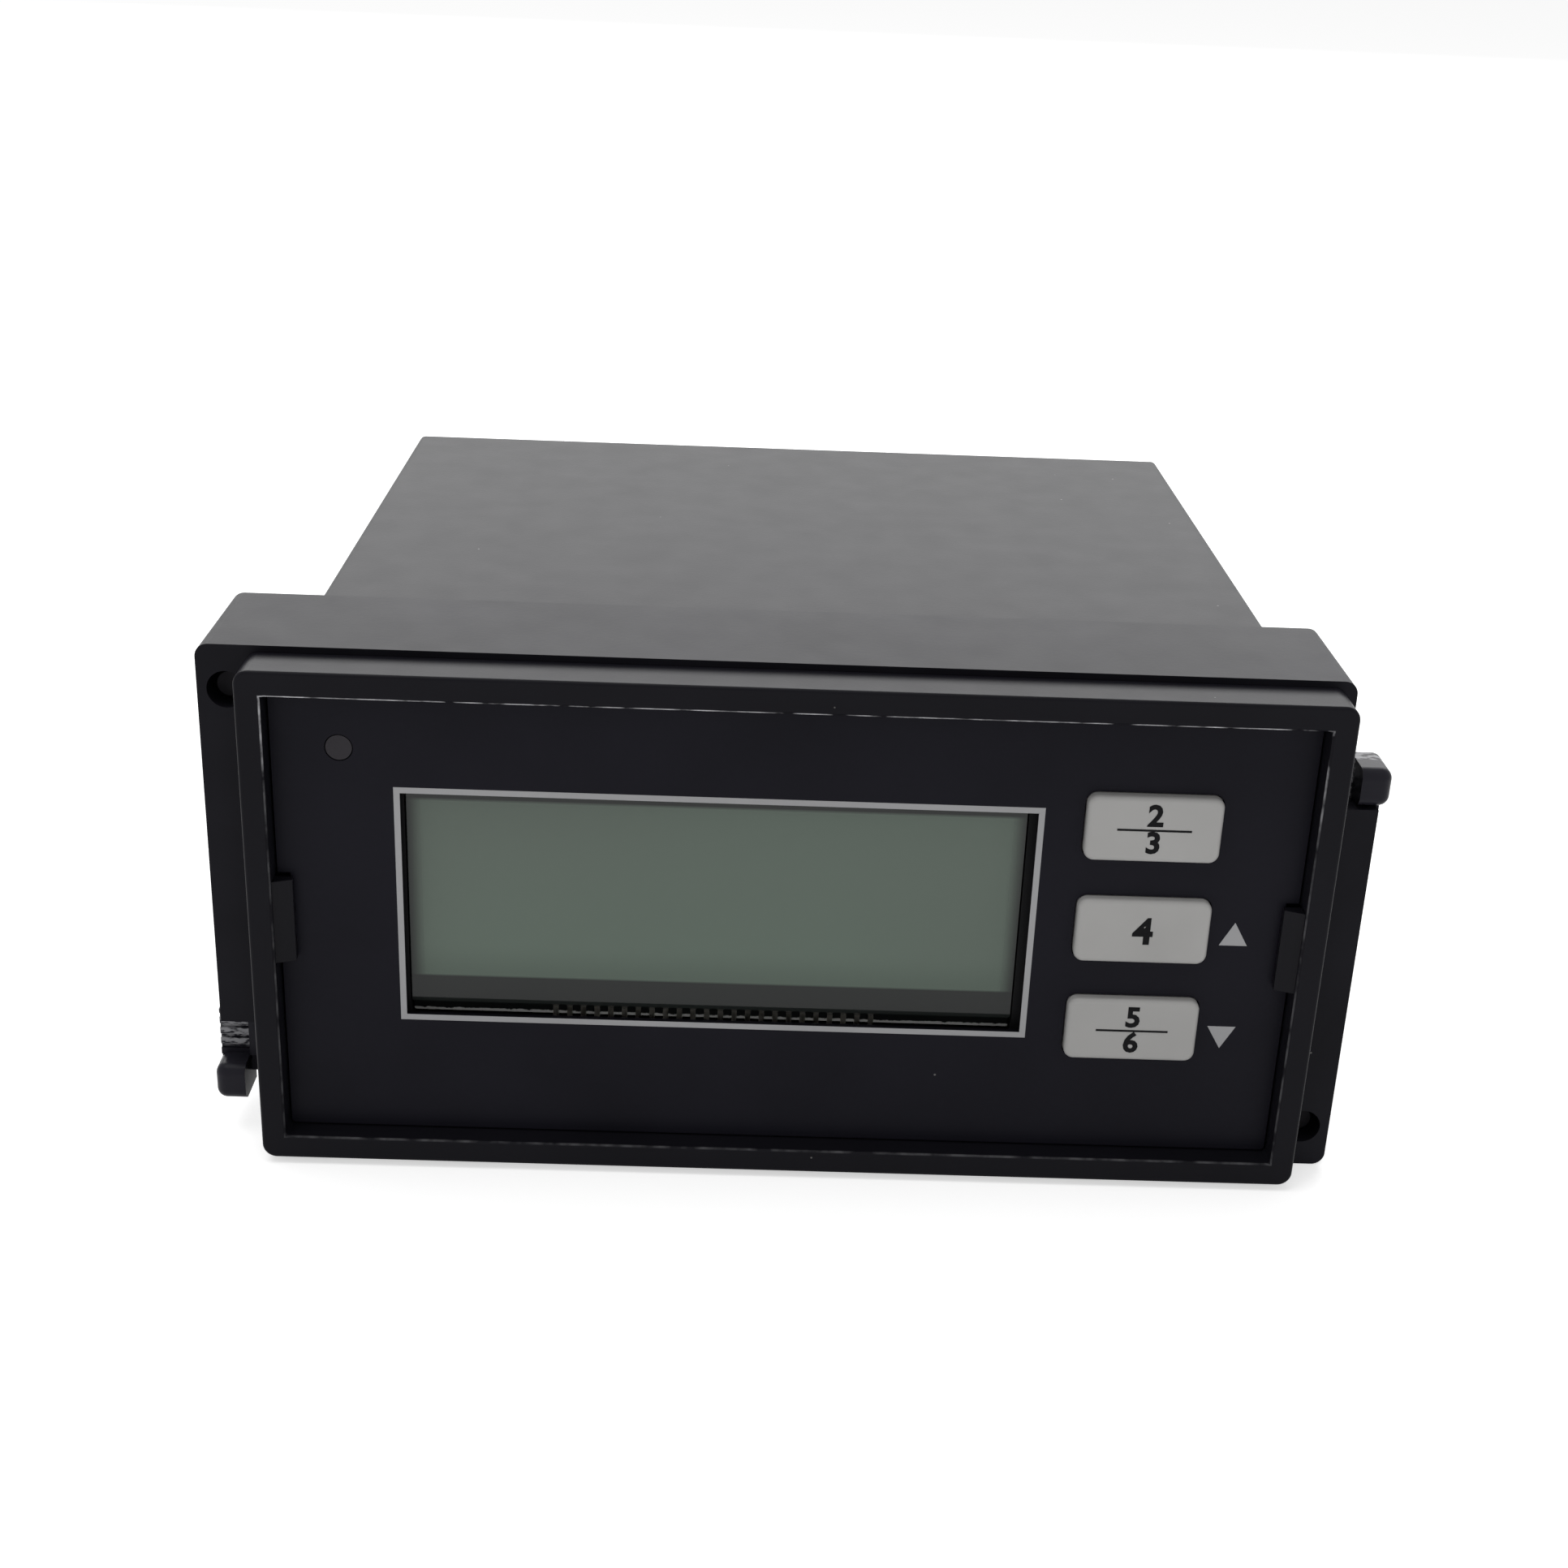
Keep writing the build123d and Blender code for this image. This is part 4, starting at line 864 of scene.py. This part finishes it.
class MESH_OT_controller_threads(bpy.types.Operator):
    """Wind a thread round the shank of each clamp screw"""

    bl_idname = "mesh.controller_threads"
    bl_label = "Wind threads"

    def execute(self, context):
        look = context.scene.controller_thread
        steel = bpy.data.materials["blackened_steel_and_hole_shade"]
        tree, names = self.winding()
        values = {"Turns": THREAD_LENGTH / look.pitch, "Radius": SHANK_RADIUS,
                  "Length": THREAD_LENGTH, "Height": look.height, "Material": steel}
        for side in ("left", "right"):
            screw = "clamp_screw_" + side
            x, z = middle(screw)
            holder = scene_object("thread_holder", bpy.data.meshes.new("thread_holder"))
            modifier = holder.modifiers.new("Winding", "NODES")
            modifier.node_group = tree
            for label, value in values.items():
                modifier[names[label]] = value
            mesh = evaluated_mesh(holder)
            mesh.transform(turned((x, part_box(screw)[0].y + THREAD_START, z), -90))
            mesh.name = "clamp_thread_" + side
            piece("clamp_thread_" + side, mesh, steel, "screw_" + side)
        return {"FINISHED"}

    def winding(self):
        """Geometry nodes that sweep a small rim along a helix, and the names of their inputs"""
        tree = bpy.data.node_groups.new("thread_winding", "GeometryNodeTree")
        face = tree.interface
        face.new_socket("Geometry", in_out="OUTPUT", socket_type="NodeSocketGeometry")
        names = {}
        for label in ("Turns", "Radius", "Length", "Height", "Material"):
            kind = "NodeSocketMaterial" if label == "Material" else "NodeSocketFloat"
            names[label] = face.new_socket(label, in_out="INPUT", socket_type=kind).identifier
        entry = tree.nodes.new("NodeGroupInput")
        leave = tree.nodes.new("NodeGroupOutput")
        spiral = tree.nodes.new("GeometryNodeCurveSpiral")
        spiral.inputs["Resolution"].default_value = STEPS_PER_TURN
        rim = tree.nodes.new("GeometryNodeCurvePrimitiveCircle")
        rim.inputs["Resolution"].default_value = RIDGE_SIDES
        sweep = tree.nodes.new("GeometryNodeCurveToMesh")
        sweep.inputs["Fill Caps"].default_value = True
        real = tree.nodes.new("GeometryNodeRealizeInstances")
        skin = tree.nodes.new("GeometryNodeSetMaterial")
        for start, end in (
                (entry.outputs["Turns"], spiral.inputs["Rotations"]),
                (entry.outputs["Radius"], spiral.inputs["Start Radius"]),
                (entry.outputs["Radius"], spiral.inputs["End Radius"]),
                (entry.outputs["Length"], spiral.inputs["Height"]),
                (entry.outputs["Height"], rim.inputs["Radius"]),
                (spiral.outputs["Curve"], sweep.inputs["Curve"]),
                (rim.outputs["Curve"], sweep.inputs["Profile Curve"]),
                (sweep.outputs["Mesh"], real.inputs["Geometry"]),
                (real.outputs["Geometry"], skin.inputs["Geometry"]),
                (entry.outputs["Material"], skin.inputs["Material"]),
                (skin.outputs["Geometry"], leave.inputs["Geometry"])):
            tree.links.new(start, end)
        return tree, names


class SCENE_OT_controller_stage(bpy.types.Operator):
    """Set up the floor, the lights, the world and the camera"""

    bl_idname = "scene.controller_stage"
    bl_label = "Set up stage"

    def execute(self, context):
        look = context.scene.controller_stage
        self.add_floor(look)
        context.scene.world = self.studio(look)
        self.add_lamp("rear_softbox", look.rear_light, *REAR_LAMP)
        self.add_lamp("top_softbox", look.top_light, *TOP_LAMP)
        context.scene.camera = self.add_camera()
        context.scene.view_settings.view_transform = "Standard"
        return {"FINISHED"}

    def add_floor(self, look):
        """Wide pale floor that stays near white and keeps the shadow"""
        level = cad_box[0].z - look.floor_drop
        mesh = bpy.data.meshes.new("floor")
        corners = rectangle(-FLOOR_HALF, FLOOR_HALF, -FLOOR_HALF, FLOOR_HALF)
        mesh.from_pydata([(x, y, level) for x, y in corners], [], [(0, 1, 2, 3)])
        floor = scene_object("floor", mesh)
        material = bpy.data.materials.new("floor_paper")
        material.use_nodes = True
        tree = material.node_tree
        tree.nodes.clear()
        output = tree.nodes.new("ShaderNodeOutputMaterial")
        matt = tree.nodes.new("ShaderNodeBsdfDiffuse")
        matt.inputs["Color"].default_value = (*look.floor_tone, 1)
        white = tree.nodes.new("ShaderNodeEmission")
        lift = ramp(tree, seen_directly(tree), 0, 1, 0.0, look.floor_lift)
        tree.links.new(lift, white.inputs["Strength"])
        total = tree.nodes.new("ShaderNodeAddShader")
        tree.links.new(matt.outputs["BSDF"], total.inputs[0])
        tree.links.new(white.outputs["Emission"], total.inputs[1])
        tree.links.new(total.outputs["Shader"], output.inputs["Surface"])
        mesh.materials.append(material)

    def studio(self, look):
        """Even sky that shows as white to the camera"""
        world = bpy.data.worlds.new("studio")
        world.use_nodes = True
        tree = world.node_tree
        tree.nodes.clear()
        output = tree.nodes.new("ShaderNodeOutputWorld")
        sky = tree.nodes.new("ShaderNodeBackground")
        sky.inputs["Color"].default_value = (1, 1, 1, 1)
        strength = ramp(tree, seen_directly(tree), 0, 1, look.sky, 1.0)
        tree.links.new(strength, sky.inputs["Strength"])
        tree.links.new(sky.outputs["Background"], output.inputs["Surface"])
        return world

    def add_lamp(self, name, power, place, size):
        """Area lamp that points at the object"""
        lamp = bpy.data.lights.new(name, "AREA")
        lamp.shape = "RECTANGLE"
        lamp.size, lamp.size_y = size
        lamp.energy = power
        holder = scene_object(name, lamp)
        holder.location = place
        holder.rotation_euler = (-Vector(place)).to_track_quat("-Z", "Y").to_euler()
        holder.visible_camera = False

    def add_camera(self):
        """Camera at the photograph's angle"""
        camera = bpy.data.cameras.new("camera")
        camera.lens = LENS
        camera.sensor_width = SENSOR_WIDTH
        camera.clip_start = 0.01
        camera.clip_end = 30.0
        holder = scene_object("camera", camera)
        right = Vector(CAMERA_RIGHT).normalized()
        ahead = Vector(CAMERA_AHEAD).normalized()
        up = right.cross(ahead).normalized()
        turn = Matrix((right, up, -ahead)).transposed()
        holder.matrix_world = Matrix.Translation(CAMERA_PLACE) @ turn.to_4x4()
        return holder


class VIEW3D_PT_controller(bpy.types.Panel):
    """Sidebar panel with the steps that dress the controller"""

    bl_label = "Controller"
    bl_space_type = "VIEW_3D"
    bl_region_type = "UI"
    bl_category = "Controller"

    def draw(self, context):
        column = self.layout.column()
        for step in STEPS:
            column.operator(step.bl_idname)
        for name in SETTINGS:
            box = column.box()
            group = getattr(context.scene, name)
            for entry in group.bl_rna.properties:
                if entry.identifier not in ("name", "rna_type"):
                    box.prop(group, entry.identifier)


SETTINGS = {
    "controller_plastic": PlasticSettings,
    "controller_display": DisplaySettings,
    "controller_print": PrintSettings,
    "controller_thread": ThreadSettings,
    "controller_stage": StageSettings,
}
STEPS = (
    MATERIAL_OT_controller_housing,
    MATERIAL_OT_controller_keys,
    MATERIAL_OT_controller_display,
    MATERIAL_OT_controller_inside,
    MATERIAL_OT_controller_terminals,
    MESH_OT_controller_film_sheet,
    MESH_OT_controller_film_print,
    MESH_OT_controller_key_print,
    MESH_OT_controller_threads,
    SCENE_OT_controller_stage,
)


def register():
    """Register the classes and the settings"""
    for group in SETTINGS.values():
        bpy.utils.register_class(group)
    for step in STEPS:
        bpy.utils.register_class(step)
    bpy.utils.register_class(VIEW3D_PT_controller)
    for name, group in SETTINGS.items():
        setattr(bpy.types.Scene, name, bpy.props.PointerProperty(type=group))


def unregister():
    """Remove the classes and the settings"""
    for name in SETTINGS:
        delattr(bpy.types.Scene, name)
    bpy.utils.unregister_class(VIEW3D_PT_controller)
    for step in reversed(STEPS):
        bpy.utils.unregister_class(step)
    for group in reversed(list(SETTINGS.values())):
        bpy.utils.unregister_class(group)


def main():
    """Dress the controller"""
    register()
    bpy.ops.material.controller_housing()
    bpy.ops.material.controller_keys()
    bpy.ops.material.controller_display()
    bpy.ops.material.controller_inside()
    bpy.ops.material.controller_terminals()
    bpy.ops.mesh.controller_film_sheet()
    bpy.ops.mesh.controller_film_print()
    bpy.ops.mesh.controller_key_print()
    bpy.ops.mesh.controller_threads()
    bpy.ops.scene.controller_stage()


if __name__ == "__main__":
    main()
